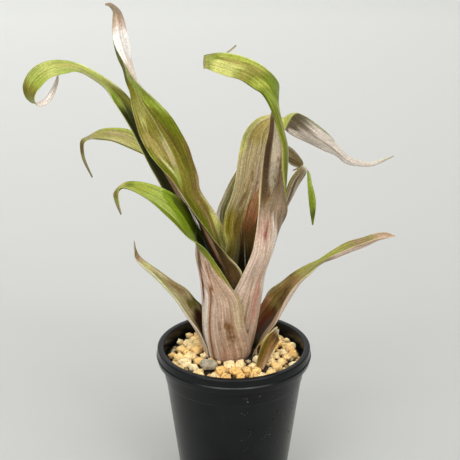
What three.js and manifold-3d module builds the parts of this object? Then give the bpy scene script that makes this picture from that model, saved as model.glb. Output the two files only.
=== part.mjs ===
// Potted Aechmea bromeliifolia: eleven clasping leaves on a short stem, standing
// in pumice gravel in a plain tapered plant pot.
// Millimetres, +Z up. The origin is the centre of the pot's underside, and the
// front of the plant looks along -Y.

import * as THREE from 'three';
import * as BufferGeometryUtils from 'three/addons/utils/BufferGeometryUtils.js';
import Module from 'manifold-3d';

const wasm = await Module();
wasm.setup();

// Clearance kept between neighbouring pieces
const GAP = 0.3;

// Pot: a tapered wall under a thicker rim band, with a small step below the band
const POT_HEIGHT = 95;
const POT_RIM_RADIUS = 45;
const POT_BASE_RADIUS = 30;
const POT_WALL_TOP_RADIUS = 41.4;
const POT_WALL = 1.8;
const POT_FLOOR = 3;
const POT_RIM_DEPTH = 9;
const POT_MOUTH_RADIUS = 40.8;
const POT_EDGE = 1.2;
const POT_STEP_HEIGHT = 76.5;
const POT_STEP = 0.5;
const POT_SIDES = 40;
const DRAIN_HOLES = 5;
const DRAIN_RADIUS = 3;
const DRAIN_CIRCLE = 19;
const DRAIN_SIDES = 12;

// Gravel: a plain fill heaped towards the middle, and angular grains lying on it
const FILL_TOP = 86;
const HEAP_TOP = 90.5;
const HEAP_RADIUS = 13;
const GRAIN_SEED = 7;
const GRAIN_REACH = 7;
const GRAIN_SPACING = 6.9;
const GRAIN_NUDGE = 2.2;
const GRAIN_LEVEL = 1.4;
const GRAIN_LIFT = 1.6;
const GRAIN_MIN = 3.7;
const GRAIN_MAX = 5.4;
const GRAIN_SMALLER = [3.4, 2.8];
const GRAIN_ROUGHNESS = 0.3;
const GRAIN_FLATNESS = [0.74, 0.7];
const GRAIN_SPREAD = 0.24;
const GREY_PEBBLE = { x: -14.3, y: -19.5, z: 92.2, size: [5.2, 3.4, 2.8], tilt: 0.2, turn: 0.4 };

// Plain hole in the gravel round the stem, with a flared mouth for the leaf bases
const HOLE_RADIUS = 9.9;
const HOLE_MOUTH_RADIUS = 13.2;
const HOLE_MOUTH_HEIGHT = 83.2;
const HOLE_FLARE_RADIUS = 19.7;
const HOLE_FLARE_HEIGHT = 103.2;
const HOLE_SIDES = 24;

// The crown of leaves stands a little left of the pot's axis and leans right
const CROWN_X = -1.9;
const CROWN_LEAN = 0.05;
const CROWN_LEAN_FROM = 100;

// Outer radius of the tube of clasping leaf bases, as [height, radius]
const CROWN_PROFILE = [
  [80, 9.6], [84, 10.7], [88, 12.6], [94, 14.7], [104, 16.6], [114, 17.4], [128, 18.5], [142, 20],
];
const LAYER_PITCH = 1.6;
const LAYER_FIRST = 0.6;

// Leaf thickness at the middle and at the margins
const LEAF_MIDDLE = 1.0;
const LEAF_MARGIN = 0.6;
const LEAF_FULL_WIDTH = 8;

// A base row of a leaf is [height, layer from the outside, azimuth, half wrap],
// in millimetres and degrees. Azimuth 0 is right, 90 back, 180 left, -90 front.
// A blade row is [left margin x, y, z, right margin x, y, z, channel depth,
// sideways shift of the middle as a share of the width]. Left and right are as
// seen on the leaf's upper face with its tip up.
const LEAVES = {
  leaf_left_front: {
    colour: 0x8fae3a,
    base: [[87, 0, -116, 70], [94, 0, -116, 82], [104, 0, -122, 73], [114, 0, -127, 63], [130, 0, -127, 50]],
    blade: [
      [-1.5, -18.5, 139.5, -20, -1, 144, 6],
      [-9, -18, 152, -21, -1, 154, 5],
      [-16.5, -18, 163, -21, -2, 161.5, 1.8],
      [-25, -20, 170, -21.5, -4, 170, 1.5],
      [-33.5, -24, 181.5, -26, -7, 183.5, 2.5],
      [-41.5, -30, 192, -33, -12, 192.5, 3],
      [-49.5, -36, 201, -42.5, -18, 199.5, 3],
      [-55.5, -41, 206, -51, -26, 204.5, 2],
      [-59, -45, 207.5, -57.5, -36, 207.5, 1],
      [-60, -48, 205.5, -62.5, -43, 204.5, 0.5],
      [-59.5, -49, 200, -61.5, -46, 199.5, 0.3],
      [-58.5, -49, 195, -59, -48, 194, 0],
    ],
  },
  leaf_left_curled: {
    colour: 0x7f9440,
    base: [[90, 1, 180, 62], [98, 1, 182, 63], [114, 1, 183, 58], [130, 1, 183, 46]],
    blade: [
      [-14.4, -5, 141, -12, 12, 142, 2.5],
      [-15, 0.5, 151, -10.5, 12.5, 152, 3],
      [-26, 0.5, 166, -19.5, 10, 164.5, 2.5],
      [-34.5, 0, 179.5, -25.5, 10, 178, 3],
      [-40.5, 1.5, 192, -31.5, 12, 189.5, 3],
      [-46.5, 3, 203.5, -37.5, 14, 200.5, 3],
      [-52.5, 6, 215, -44.5, 16, 213, 3],
      [-59, 9, 227, -51.5, 18, 227, 3],
      [-65, 10, 237, -58.5, 20, 238, 3],
      [-70, 11, 246, -66.5, 21, 245.5, 2.5],
      [-77, 10, 252, -75, 21, 251.5, 2],
      [-84, 9, 255.5, -84.5, 21, 256.5, 1.5],
      [-92, 9, 254.5, -94, 20, 259, 1],
      [-100, 9, 252, -103.5, 19, 258.5, 1],
      [-105.5, 9, 247, -111.5, 18, 254, 1],
      [-109, 10, 242, -116, 17, 246.5, 1],
      [-109.5, 11, 238, -115.5, 17, 239.5, 1],
      [-108, 12, 235.5, -111.5, 17, 235.5, 0.7],
      [-105, 14, 235, -106.5, 18, 236.5, 0.5],
      [-101.5, 17, 237, -103.5, 20, 239.5, 0.5],
      [-99, 20, 241.5, -101, 22, 243, 0.3],
      [-97.5, 22, 246.5, -99, 23.5, 247, 0.2],
      [-97.5, 24.5, 249.5, -98, 25, 249.5, 0],
    ],
  },
  leaf_broad: {
    colour: 0x86913c,
    base: [[92, 2, 182, 88], [98, 2, 184, 95], [114, 2, 187, 103], [130, 2, 188, 108]],
    blade: [
      [4.5, -15.5, 147, 1.5, 14, 148.5, 15.5],
      [-3.5, -16, 157.5, -3, 12, 157, 12],
      [-10.5, -15.5, 166, -6.5, 9, 165.5, 9],
      [-16, -13.5, 173.5, -11, 7, 175, 6],
      [-22, -12, 181.5, -15, 5, 182, 4],
      [-27.5, -10.5, 189.5, -19, 4, 189.5, 4],
      [-33.5, -10, 199.5, -20, 2, 198, 4],
      [-39, -10, 206, -22.5, 0, 207, 4],
      [-45.5, -10, 214.5, -25, -2, 216.5, 4],
      [-50, -10, 223.5, -29, -4, 225.5, 4],
      [-52.5, -10, 232, -34.5, -6, 235.5, 4],
      [-54.5, -10, 241, -41.5, -8, 244, 3.5],
      [-55.5, -9, 248.5, -48.5, -11, 251.5, 3.5],
      [-57.5, -8, 254.5, -53, -14, 258, 4],
      [-59, -7, 261, -56.5, -15, 264.5, 4.5],
      [-61.5, -7, 267, -59.5, -16, 270.5, 6.5],
      [-63, -8, 274, -62, -16, 276.5, 7.5],
      [-63.5, -9, 281, -63, -16, 283, 7],
      [-63, -10, 288, -62.5, -16, 290, 5.3],
      [-62.5, -11.5, 293, -62.5, -15, 293.5, 3],
      [-64, -12, 296.5, -64.5, -14, 296, 1.2],
      [-66.5, -12.5, 297, -66.5, -13.5, 296.5, 0],
    ],
  },
  leaf_left_back: {
    colour: 0x8a9152,
    base: [[88, 0, 125, 26], [96, 0, 125, 28], [114, 0, 125, 28], [130, 0, 123, 24]],
    blade: [
      [-16.5, 16, 154, -9.5, 20, 155, 2.5],
      [-21.5, 20, 169, -14.5, 24, 170, 2],
      [-30, 24, 182, -22.5, 28, 184, 2],
      [-39.5, 28, 192, -33, 33, 195.5, 2],
      [-48.5, 32, 198.5, -43.5, 38, 203, 2],
      [-55.5, 36, 201, -53.5, 43, 207.5, 2],
      [-63.5, 39, 203.5, -61.5, 47, 211, 2],
      [-71, 42, 205.5, -70, 50, 211, 1.5],
      [-78, 45, 205.5, -78, 52, 209.5, 1],
      [-83.5, 46, 205.5, -85, 51, 206, 0.5],
      [-87.5, 47, 203, -89.5, 50, 203.5, 0.3],
      [-88, 47, 197.5, -90, 49, 197.5, 0.2],
      [-87, 48, 191, -88.5, 49, 190.5, 0.2],
      [-83.5, 49, 181, -84, 49.5, 180.5, 0],
    ],
  },
  leaf_right_tall: {
    colour: 0xb59a8c,
    base: [[90, 1, -40, 66], [98, 1, -40, 70], [114, 1, -38, 70], [130, 1, -33, 65]],
    blade: [
      [17.5, 12, 142, 3, -17.7, 143, 6.4],
      [21, 10, 154.5, 9.5, -15, 157.5, 6],
      [26, 6, 166, 12, -12, 168.5, 4],
      [29.5, -3, 178.5, 13.5, -8, 180, 1],
      [28, -9, 191.5, 14, -1, 188, -5, -0.15],
      [26.5, -10, 205.5, 15, 4, 199.5, -7, -0.15],
      [26, -11, 217.5, 16.5, 6, 212, -7, -0.1],
      [23.5, -12, 227.5, 19, 7, 222.5, -5, -0.1],
      [20, -15, 239.5, 20.5, 4, 234.5, -4],
      [15, -19, 250, 24, -1, 246.5, -2.5],
      [10, -24, 255, 22.5, -7, 255.5, -1.5],
      [3, -29, 261, 14, -13, 265, -1],
      [-4, -33, 264, 4, -19, 271, 0],
      [-10, -36, 267, -5.5, -24, 274, 0],
      [-14, -35.5, 268.5, -13, -25, 273.5, 0],
      [-15.5, -31, 267.5, -15.5, -22, 272, 0],
      [-14.5, -24, 267, -14, -17, 271, 0],
      [-9.5, -18, 268.5, -9.5, -13, 270.5, 0],
      [-4, -12, 270.5, -4, -9, 270.5, 0],
      [1, -8, 273.5, 1, -7, 274, 0],
    ],
  },
  leaf_back_tall: {
    colour: 0x8b8a45,
    base: [[96, 3, 62, 82], [102, 3, 62, 85], [114, 3, 65, 85], [130, 3, 72, 82]],
    blade: [
      [-4.5, 3, 153.5, 14, 5, 154.5, 5.5],
      [-6, 3, 164, 16, 6, 165, 5.5],
      [-5, 4, 173.5, 18, 7, 174, 5.5],
      [-1.5, 6, 183, 20.5, 8, 184, 5],
      [1, 7, 193.5, 23.5, 9, 194, 5],
      [2, 9, 203, 25.5, 9, 204.5, 4.5],
      [3.5, 12, 211.5, 27.5, 10, 213, 4],
      [6.5, 15, 220, 27.5, 10.5, 217.5, 3.5],
      [14, 19, 226.5, 27.5, 11, 220, 2.5],
      [24.5, 23, 226.5, 28, 12, 221.5, -1],
      [29, 28, 217, 33.5, 15.5, 229.5, -3.5],
      [34.5, 30, 212, 39, 20, 227.5, -1.5],
      [44, 33, 206.5, 47.5, 26, 220, 1],
      [52.5, 37, 201, 55, 32, 212, 1],
      [59.5, 41, 197, 61.5, 38, 202.5, 0.7],
      [65.5, 45, 191, 67, 43, 196, 0.5],
      [73, 49, 188, 74, 48, 191.5, 0.4],
      [83, 55, 186, 83, 54.5, 188.5, 0.2],
      [95, 60, 190, 95.5, 60, 190.5, 0],
    ],
  },
  leaf_back: {
    colour: 0x7c8262,
    base: [[90, 1, 80, 32], [98, 1, 80, 32], [114, 1, 82, 32], [130, 1, 82, 32]],
    blade: [
      [-8.5, 17, 155, 9.5, 18, 156.5, 3],
      [-10, 19, 168.5, 8, 20, 169.5, 3],
      [-5.5, 22, 180, 11.5, 22, 181.5, 3],
      [0, 25, 190.5, 16, 24, 192, 3],
      [7.5, 28, 200.5, 21.5, 24, 200, 3],
      [16, 32, 205.5, 26.5, 25, 201, 2.5],
      [24.5, 35, 206.5, 30.5, 26, 199.5, 2],
      [32, 36, 204, 32.5, 27, 196.5, 1.5],
      [37, 35, 199.5, 35.5, 28, 194.5, 1],
      [40, 33.5, 195, 37.5, 30, 193.5, 0.4],
      [38.5, 32, 192.5, 36.5, 30, 193, 0.2],
      [34, 30, 191.5, 34, 29.5, 192, 0],
    ],
  },
  leaf_right_folded: {
    colour: 0xa58f7e,
    base: [[92, 2, -4, 46], [98, 2, -4, 48], [114, 2, -4, 48], [130, 2, -4, 46]],
    blade: [
      [15.5, 12, 148.5, 14.5, -5, 150, 2.5],
      [19.5, 12.5, 160, 19, -3, 162.5, 2],
      [26.5, 10, 173, 24, -1, 175, 2],
      [32.5, 8.5, 183, 28, 2.5, 185.5, 1.5],
      [36.5, 8, 191, 31, 3.5, 194.5, 1],
      [39.5, 7, 196.5, 35.5, 4, 201, 0.5],
      [40.5, 8.5, 198, 39, 6, 202.5, 0.3],
      [42.5, 11, 196.5, 41, 9, 198, 0.3],
      [44, 13, 189.5, 41.5, 12, 190.5, 0.3],
      [46, 14, 181.5, 42.5, 14, 180.5, 0.5],
      [46.5, 15, 174, 43.5, 15, 173, 0.4],
      [45.5, 16, 163.5, 45, 16, 163.5, 0],
    ],
  },
  leaf_low_right: {
    colour: 0x7d6f3a,
    base: [[84, -1, 12, 34], [90, -1, 14, 38], [95, -1, 16, 42]],
    blade: [
      [12.5, 14.5, 107, 17, -8, 102.5, 3.5],
      [17.5, 12, 118, 22.5, -11, 112.5, 5],
      [21, 13, 124, 26, -12, 122, 6],
      [27.5, 10, 130.5, 30, -13, 131.5, 5],
      [34, 6, 138, 35.5, -13, 139.5, 3.5],
      [41.5, 1, 145, 42, -12, 145, 2],
      [48, -3, 150, 48, -10, 150, 1],
      [54, -6, 156, 54, -13, 156, 3],
      [63, -9, 163, 62.5, -16, 161.5, 4],
      [71, -12.5, 167, 70, -19, 166, 3.5],
      [78, -16, 171, 77.5, -21, 169.5, 2.5],
      [83.5, -19, 172.5, 83.5, -22, 171, 1.5],
      [87.5, -22, 172, 87, -22.5, 171.5, 0],
    ],
  },
  leaf_low_left: {
    colour: 0x8b8b4a,
    base: [[84, -1, 170, 38], [90, -1, 170, 42], [97, -1, 172, 42]],
    blade: [
      [-19.5, -9, 107, -18, 12, 113, 5],
      [-25, -9, 115.5, -22.5, 11, 119, 4.5],
      [-32, -6.5, 126, -27.5, 11, 125.5, 4],
      [-39, -4, 134, -35.5, 11, 131, 3],
      [-46, 0, 140, -43, 12, 136.5, 2.5],
      [-51.5, 5, 142.5, -49, 13, 140.5, 2],
      [-56.5, 10, 145.5, -54, 15, 144, 1.5],
      [-57, 13, 149.5, -56.5, 16, 148.5, 0.5],
      [-57.5, 17, 153, -57.5, 17.5, 153, 0],
    ],
  },
  leaf_stub: {
    colour: 0x75693a,
    base: [],
    blade: [
      [12.5, -22, 90, 16.5, -20.5, 89.3, 0.6],
      [13.7, -19.5, 96.3, 19, -16.5, 93, 1.8],
      [16, -19, 104, 23, -14.5, 100, 2.5],
      [19.5, -18.5, 110, 26.5, -13, 106, 2.5],
      [23.8, -17.5, 114.8, 28.5, -12, 109.7, 1.8],
    ],
  },
};
const STEPS_PER_ROW = 2;
const DEGREE = Math.PI / 180;

// Linear interpolation in a list of [position, value]
function profileAt(list, position) {
  for (let i = 1; i < list.length; i += 1) {
    if (position <= list[i][0]) {
      const [p0, v0] = list[i - 1];
      const [p1, v1] = list[i];
      return v0 + (v1 - v0) * (position - p0) / (p1 - p0);
    }
  }
  return list[list.length - 1][1];
}

// Middle of the crown of leaves at a height
function crownX(z) {
  return CROWN_X + CROWN_LEAN * (z - CROWN_LEAN_FROM);
}

// Points across a clasping leaf base, from the left margin to the right one
function baseSection([z, layer, azimuth, halfWrap], across) {
  const radius = profileAt(CROWN_PROFILE, z) - LAYER_FIRST - LAYER_PITCH * layer;
  const points = [];
  for (let j = 0; j <= across; j += 1) {
    const angle = (azimuth + halfWrap * (1 - 2 * j / across)) * DEGREE;
    points.push(new THREE.Vector3(crownX(z) + radius * Math.cos(angle), radius * Math.sin(angle), z));
  }
  return points;
}

// Points across a channelled blade: a parabola through both margins and the middle
function bladeSection([lx, ly, lz, rx, ry, rz, depth, shift = 0], along, across) {
  const left = new THREE.Vector3(lx, ly, lz);
  const right = new THREE.Vector3(rx, ry, rz);
  const width = right.clone().sub(left);
  const face = width.clone().cross(along).normalize();
  const chord = left.clone().add(right).multiplyScalar(0.5);
  const middle = chord.clone().addScaledVector(width, shift).addScaledVector(face, -depth);
  const sag = chord.clone().sub(middle);
  const points = [];
  for (let j = 0; j <= across; j += 1) {
    const s = 2 * j / across - 1;
    points.push(middle.clone().addScaledVector(width, s / 2).addScaledVector(sag, s * s));
  }
  return points;
}

function rowCentre(leaf, i) {
  if (i < leaf.base.length) {
    const section = baseSection(leaf.base[i], 2);
    return section[0].clone().add(section[1]).add(section[2]).divideScalar(3);
  }
  const [lx, ly, lz, rx, ry, rz] = leaf.blade[i - leaf.base.length];
  return new THREE.Vector3((lx + rx) / 2, (ly + ry) / 2, (lz + rz) / 2);
}

// All the drawn sections of a leaf, base rows first
function leafSections(leaf, across) {
  const count = leaf.base.length + leaf.blade.length;
  const sections = leaf.base.map((row) => baseSection(row, across));
  leaf.blade.forEach((row, k) => {
    const i = leaf.base.length + k;
    const before = rowCentre(leaf, Math.max(i - 1, 0));
    const after = rowCentre(leaf, Math.min(i + 1, count - 1));
    sections.push(bladeSection(row, after.sub(before).normalize(), across));
  });
  return sections;
}

// Uniform Catmull-Rom through the drawn points of one line along the leaf
function smoothLine(points, steps) {
  const first = points[0].clone().multiplyScalar(2).sub(points[1]);
  const last = points[points.length - 1].clone().multiplyScalar(2).sub(points[points.length - 2]);
  const p = [first, ...points, last];
  const line = [];
  for (let i = 1; i < points.length; i += 1) {
    for (let k = 0; k < steps; k += 1) {
      const f = k / steps;
      const weights = [
        -f + 2 * f * f - f ** 3,
        2 - 5 * f * f + 3 * f ** 3,
        f + 4 * f * f - 3 * f ** 3,
        -f * f + f ** 3,
      ];
      const point = new THREE.Vector3();
      weights.forEach((weight, n) => point.addScaledVector(p[i - 1 + n], weight / 2));
      line.push(point);
    }
  }
  line.push(points[points.length - 1].clone());
  return line;
}

// Middle surface of a leaf as lines along it, one for each point across
function leafLines(leaf, across, steps) {
  const sections = leafSections(leaf, across);
  const lines = [];
  for (let j = 0; j <= across; j += 1) {
    lines.push(smoothLine(sections.map((section) => section[j]), steps));
  }
  return lines;
}

// Normal of the middle surface, on the leaf's upper face
function faceNormal(lines, j, i) {
  const last = lines[0].length - 1;
  const across = lines.length - 1;
  const along = lines[j][Math.min(i + 1, last)].clone().sub(lines[j][Math.max(i - 1, 0)]);
  const over = lines[Math.min(j + 1, across)][i].clone().sub(lines[Math.max(j - 1, 0)][i]);
  return over.cross(along).normalize();
}

function leafThickness(lines, j, i) {
  const across = lines.length - 1;
  const width = lines[0][i].distanceTo(lines[across][i]);
  const s = 2 * j / across - 1;
  const swell = (1 - s * s) * Math.min(width / LEAF_FULL_WIDTH, 1);
  return LEAF_MARGIN + (LEAF_MIDDLE - LEAF_MARGIN) * swell;
}

// Closed solid round the middle surface. Both faces are split along the same
// diagonals, so they never cross.
function leafGeometry(leaf) {
  const widest = Math.max(0, ...leaf.base.map((row) => row[3]));
  const across = widest > 75 ? 8 : widest > 50 ? 6 : 5;
  const lines = leafLines(leaf, across, STEPS_PER_ROW);
  const rows = lines[0].length;
  const columns = across + 1;
  const positions = [];
  for (const sign of [0.5, -0.5]) {
    for (let i = 0; i < rows; i += 1) {
      for (let j = 0; j < columns; j += 1) {
        const offset = sign * leafThickness(lines, j, i);
        const point = lines[j][i].clone().addScaledVector(faceNormal(lines, j, i), offset);
        positions.push(point.x, point.y, point.z);
      }
    }
  }
  const upper = (i, j) => i * columns + j;
  const lower = (i, j) => rows * columns + i * columns + j;
  const faces = [];
  const quad = (a, b, c, d) => faces.push(a, b, c, a, c, d);
  for (let i = 0; i + 1 < rows; i += 1) {
    for (let j = 0; j < across; j += 1) {
      faces.push(upper(i, j), upper(i, j + 1), upper(i + 1, j + 1));
      faces.push(upper(i, j), upper(i + 1, j + 1), upper(i + 1, j));
      faces.push(lower(i, j), lower(i + 1, j + 1), lower(i, j + 1));
      faces.push(lower(i, j), lower(i + 1, j), lower(i + 1, j + 1));
    }
    quad(lower(i, 0), upper(i, 0), upper(i + 1, 0), lower(i + 1, 0));
    quad(upper(i, across), lower(i, across), lower(i + 1, across), upper(i + 1, across));
  }
  for (let j = 0; j < across; j += 1) {
    quad(lower(0, j), lower(0, j + 1), upper(0, j + 1), upper(0, j));
    quad(upper(rows - 1, j), upper(rows - 1, j + 1), lower(rows - 1, j + 1), lower(rows - 1, j));
  }
  const geometry = new THREE.BufferGeometry();
  geometry.setAttribute('position', new THREE.Float32BufferAttribute(positions, 3));
  geometry.setIndex(faces);
  geometry.computeVertexNormals();
  return geometry;
}

// Closed geometry to a solid that can be joined and cut, and back
function toSolid(geometry) {
  const bare = geometry.clone();
  bare.deleteAttribute('normal');
  bare.deleteAttribute('uv');
  const merged = BufferGeometryUtils.mergeVertices(bare, 1e-4);
  return new wasm.Manifold(new wasm.Mesh({
    numProp: 3,
    vertProperties: new Float32Array(merged.attributes.position.array),
    triVerts: new Uint32Array(merged.index.array),
  }));
}

function toGeometry(solid) {
  const mesh = solid.getMesh();
  const geometry = new THREE.BufferGeometry();
  geometry.setAttribute('position', new THREE.Float32BufferAttribute(mesh.vertProperties, 3));
  geometry.setIndex(Array.from(mesh.triVerts));
  geometry.computeVertexNormals();
  return geometry;
}

// Solid of revolution about +Z from [radius, height] points
function turned(profile, sides) {
  const points = profile.map(([radius, height]) => new THREE.Vector2(radius, height));
  return new THREE.LatheGeometry(points, sides).rotateX(Math.PI / 2);
}

// Outer and inner radius of the pot's wall at a height below the rim band
function potWall(z) {
  const rimBottom = POT_HEIGHT - POT_RIM_DEPTH;
  return POT_BASE_RADIUS + (POT_WALL_TOP_RADIUS - POT_BASE_RADIUS) * z / rimBottom;
}

function potBore(z) {
  return potWall(z) - POT_WALL;
}

function potGeometry() {
  const rimBottom = POT_HEIGHT - POT_RIM_DEPTH;
  const rim = POT_RIM_RADIUS;
  const outside = [
    [0, 0], [POT_BASE_RADIUS - POT_EDGE, 0], [POT_BASE_RADIUS, POT_EDGE],
    [potWall(POT_STEP_HEIGHT) - POT_STEP, POT_STEP_HEIGHT - 0.4], [potWall(POT_STEP_HEIGHT), POT_STEP_HEIGHT],
    [potWall(rimBottom), rimBottom], [rim - 1.3, rimBottom + 0.2], [rim - 0.7, rimBottom + 1],
    [rim, POT_HEIGHT - 3.4], [rim - 0.5, POT_HEIGHT - 1.2], [rim - 1.8, POT_HEIGHT],
  ];
  const inside = [
    [POT_MOUTH_RADIUS + 0.8, POT_HEIGHT], [POT_MOUTH_RADIUS, POT_HEIGHT - 1],
    [potBore(rimBottom), rimBottom], [potBore(POT_FLOOR), POT_FLOOR], [0, POT_FLOOR],
  ];
  let pot = toSolid(turned([...outside, ...inside], POT_SIDES));
  for (let k = 0; k < DRAIN_HOLES; k += 1) {
    const angle = 2 * Math.PI * (k + 0.5) / DRAIN_HOLES;
    const drill = new THREE.CylinderGeometry(DRAIN_RADIUS, DRAIN_RADIUS, 3 * POT_FLOOR, DRAIN_SIDES);
    drill.rotateX(Math.PI / 2);
    drill.translate(DRAIN_CIRCLE * Math.cos(angle), DRAIN_CIRCLE * Math.sin(angle), POT_FLOOR / 2);
    pot = pot.subtract(toSolid(drill));
  }
  return toGeometry(pot);
}

// Short stem inside the leaf bases, stepped to meet each layer of them
const STEM_X = crownX(90);
const STEM_FOOT = 74;
const STEM_TOP = 112;
const STEM_SIDES = 20;
const STEM_STEPS = [
  [8, STEM_FOOT], [9.4, 84], [9.4, 91], [8.4, 91.6], [8.4, 95.5], [7.7, 96], [7.4, 108], [5, 110.5],
];

function stemGeometry() {
  const stem = turned([[0, STEM_FOOT], ...STEM_STEPS, [0, STEM_TOP]], STEM_SIDES);
  stem.translate(STEM_X, 0, 0);
  return stem;
}

// Repeatable pseudo-random numbers from 0 to 1
function makeRandom(seed) {
  let state = seed;
  return () => {
    state = (Math.imul(state, 1664525) + 1013904223) >>> 0;
    return state / 4294967296;
  };
}

// Where the grains lie: a staggered grid with each grain nudged, kept clear of
// the crown. The grey pebble and the foot of the torn leaf have hollows of their own.
const CROWN_CLEAR = 13;
const PEBBLE_CLEAR = 2.6;
const STUB_FOOT = { x: 15.6, y: -19.6, radius: 4.5, bottom: 88.4, top: 100 };
const STUB_CLEAR = 0.8;
const SOCKET_SIDES = 12;

// Height of the fill at a distance from the pot's axis
function fillHeight(distance) {
  const edge = potBore(FILL_TOP) - GAP;
  const share = (edge - distance) / (edge - HEAP_RADIUS);
  return FILL_TOP + (HEAP_TOP - FILL_TOP) * Math.min(Math.max(share, 0), 1);
}

function grainFits(x, y, size) {
  const toCrown = Math.hypot(x - STEM_X, y);
  const toPebble = Math.hypot(x - GREY_PEBBLE.x, y - GREY_PEBBLE.y);
  const toStub = Math.hypot(x - STUB_FOOT.x, y - STUB_FOOT.y);
  return Math.hypot(x, y) + 0.9 * size < potBore(FILL_TOP) - GAP
    && toCrown - size > CROWN_CLEAR
    && toPebble - size > PEBBLE_CLEAR
    && toStub - size > STUB_CLEAR;
}

function grainPlaces() {
  const random = makeRandom(GRAIN_SEED);
  const places = [];
  const rowStep = GRAIN_SPACING * Math.sqrt(3) / 2;
  for (let row = -GRAIN_REACH; row <= GRAIN_REACH; row += 1) {
    for (let column = -GRAIN_REACH; column <= GRAIN_REACH; column += 1) {
      const stagger = row % 2 === 0 ? 0 : 0.5;
      const x = (column + stagger) * GRAIN_SPACING + GRAIN_NUDGE * (random() - 0.5);
      const y = row * rowStep + GRAIN_NUDGE * (random() - 0.5);
      const wanted = GRAIN_MIN + (GRAIN_MAX - GRAIN_MIN) * random();
      const lift = GRAIN_LIFT * (random() - 0.5);
      const turn = random() * 2 * Math.PI;
      const seed = Math.floor(random() * 1e6);
      const size = [wanted, ...GRAIN_SMALLER].find((tried) => grainFits(x, y, tried));
      if (size) {
        const z = fillHeight(Math.hypot(x, y)) + GRAIN_LEVEL + lift;
        places.push({ x, y, z, size, turn, seed });
      }
    }
  }
  return places;
}

// One angular grain: an icosahedron with its corners pushed in and out
function grainGeometry(size, turn, seed) {
  const random = makeRandom(seed);
  const grain = new THREE.IcosahedronGeometry(1, 0);
  grain.deleteAttribute('normal');
  grain.deleteAttribute('uv');
  const shape = BufferGeometryUtils.mergeVertices(grain, 1e-4);
  const corners = shape.attributes.position;
  const stretch = [1, GRAIN_FLATNESS[0] + GRAIN_SPREAD * random(), GRAIN_FLATNESS[1] + GRAIN_SPREAD * random()];
  for (let i = 0; i < corners.count; i += 1) {
    const push = size * (1 - GRAIN_ROUGHNESS * random());
    corners.setXYZ(i, corners.getX(i) * push * stretch[0], corners.getY(i) * push * stretch[1],
      corners.getZ(i) * push * stretch[2]);
  }
  shape.rotateX(0.6 * random());
  shape.rotateZ(turn);
  return shape;
}

// The biggest body of a solid: sealed hollows between grains are filled, and
// loose scraps are dropped
function largestBody(solid) {
  return solid.decompose().reduce((best, body) => (body.volume() > best.volume() ? body : best));
}

// Fill of the pot with its top layer of grains, and the plain hole that the
// stem stands in
function gravelGeometry() {
  const bottom = POT_FLOOR + GAP;
  const fill = turned([
    [0, bottom], [potBore(bottom) - GAP, bottom], [potBore(FILL_TOP) - GAP, FILL_TOP],
    [HEAP_RADIUS, HEAP_TOP], [0, HEAP_TOP],
  ], POT_SIDES);
  let gravel = toSolid(fill);
  for (const place of grainPlaces()) {
    const grain = grainGeometry(place.size, place.turn, place.seed);
    grain.translate(place.x, place.y, place.z);
    gravel = gravel.add(toSolid(grain));
  }
  const hole = turned([
    [0, STEM_FOOT - GAP], [HOLE_RADIUS, STEM_FOOT - GAP], [HOLE_RADIUS, HOLE_MOUTH_HEIGHT],
    [HOLE_MOUTH_RADIUS, HOLE_MOUTH_HEIGHT], [HOLE_FLARE_RADIUS, HOLE_FLARE_HEIGHT], [0, HOLE_FLARE_HEIGHT],
  ], HOLE_SIDES);
  hole.translate(STEM_X, 0, 0);
  const { x, y, radius, bottom: foot, top } = STUB_FOOT;
  const socket = new THREE.CylinderGeometry(radius, radius, top - foot, SOCKET_SIDES);
  socket.rotateX(Math.PI / 2);
  socket.translate(x, y, (foot + top) / 2);
  for (const cut of [hole, socket, greyPebbleGeometry(GAP)]) {
    gravel = gravel.subtract(toSolid(cut));
  }
  return toGeometry(largestBody(gravel));
}

// The grey pebble, or the hollow it lies in when given a margin
function greyPebbleGeometry(margin = 0) {
  const { x, y, z, size, tilt, turn } = GREY_PEBBLE;
  const pebble = new THREE.IcosahedronGeometry(1, 1);
  pebble.scale(...size.map((half) => half + margin));
  pebble.rotateY(tilt);
  pebble.rotateZ(turn);
  pebble.translate(x, y, z);
  return pebble;
}

function matte(colour, roughness) {
  return new THREE.MeshStandardMaterial({ color: colour, roughness, metalness: 0, side: THREE.DoubleSide });
}

function named(name, geometry, material) {
  const mesh = new THREE.Mesh(geometry, material);
  mesh.name = name;
  return mesh;
}

const plant = new THREE.Group();
plant.add(named('pot', potGeometry(), matte(0x2a2b2e, 0.45)));
plant.add(named('gravel', gravelGeometry(), matte(0xe0c48f, 0.95)));
plant.add(named('grey_pebble', greyPebbleGeometry(), matte(0x9c9a80, 0.9)));
plant.add(named('stem', stemGeometry(), matte(0x8a7a5a, 0.8)));
for (const [name, leaf] of Object.entries(LEAVES)) {
  plant.add(named(name, leafGeometry(leaf), matte(leaf.colour, 0.5)));
}

export default plant;
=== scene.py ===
# Potted Aechmea bromeliifolia: eleven clasping leaves in pumice gravel in a plain
# tapered pot. Fine leaves, grains and pot stand in for the CAD solids they replace.
import functools
import math

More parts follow.
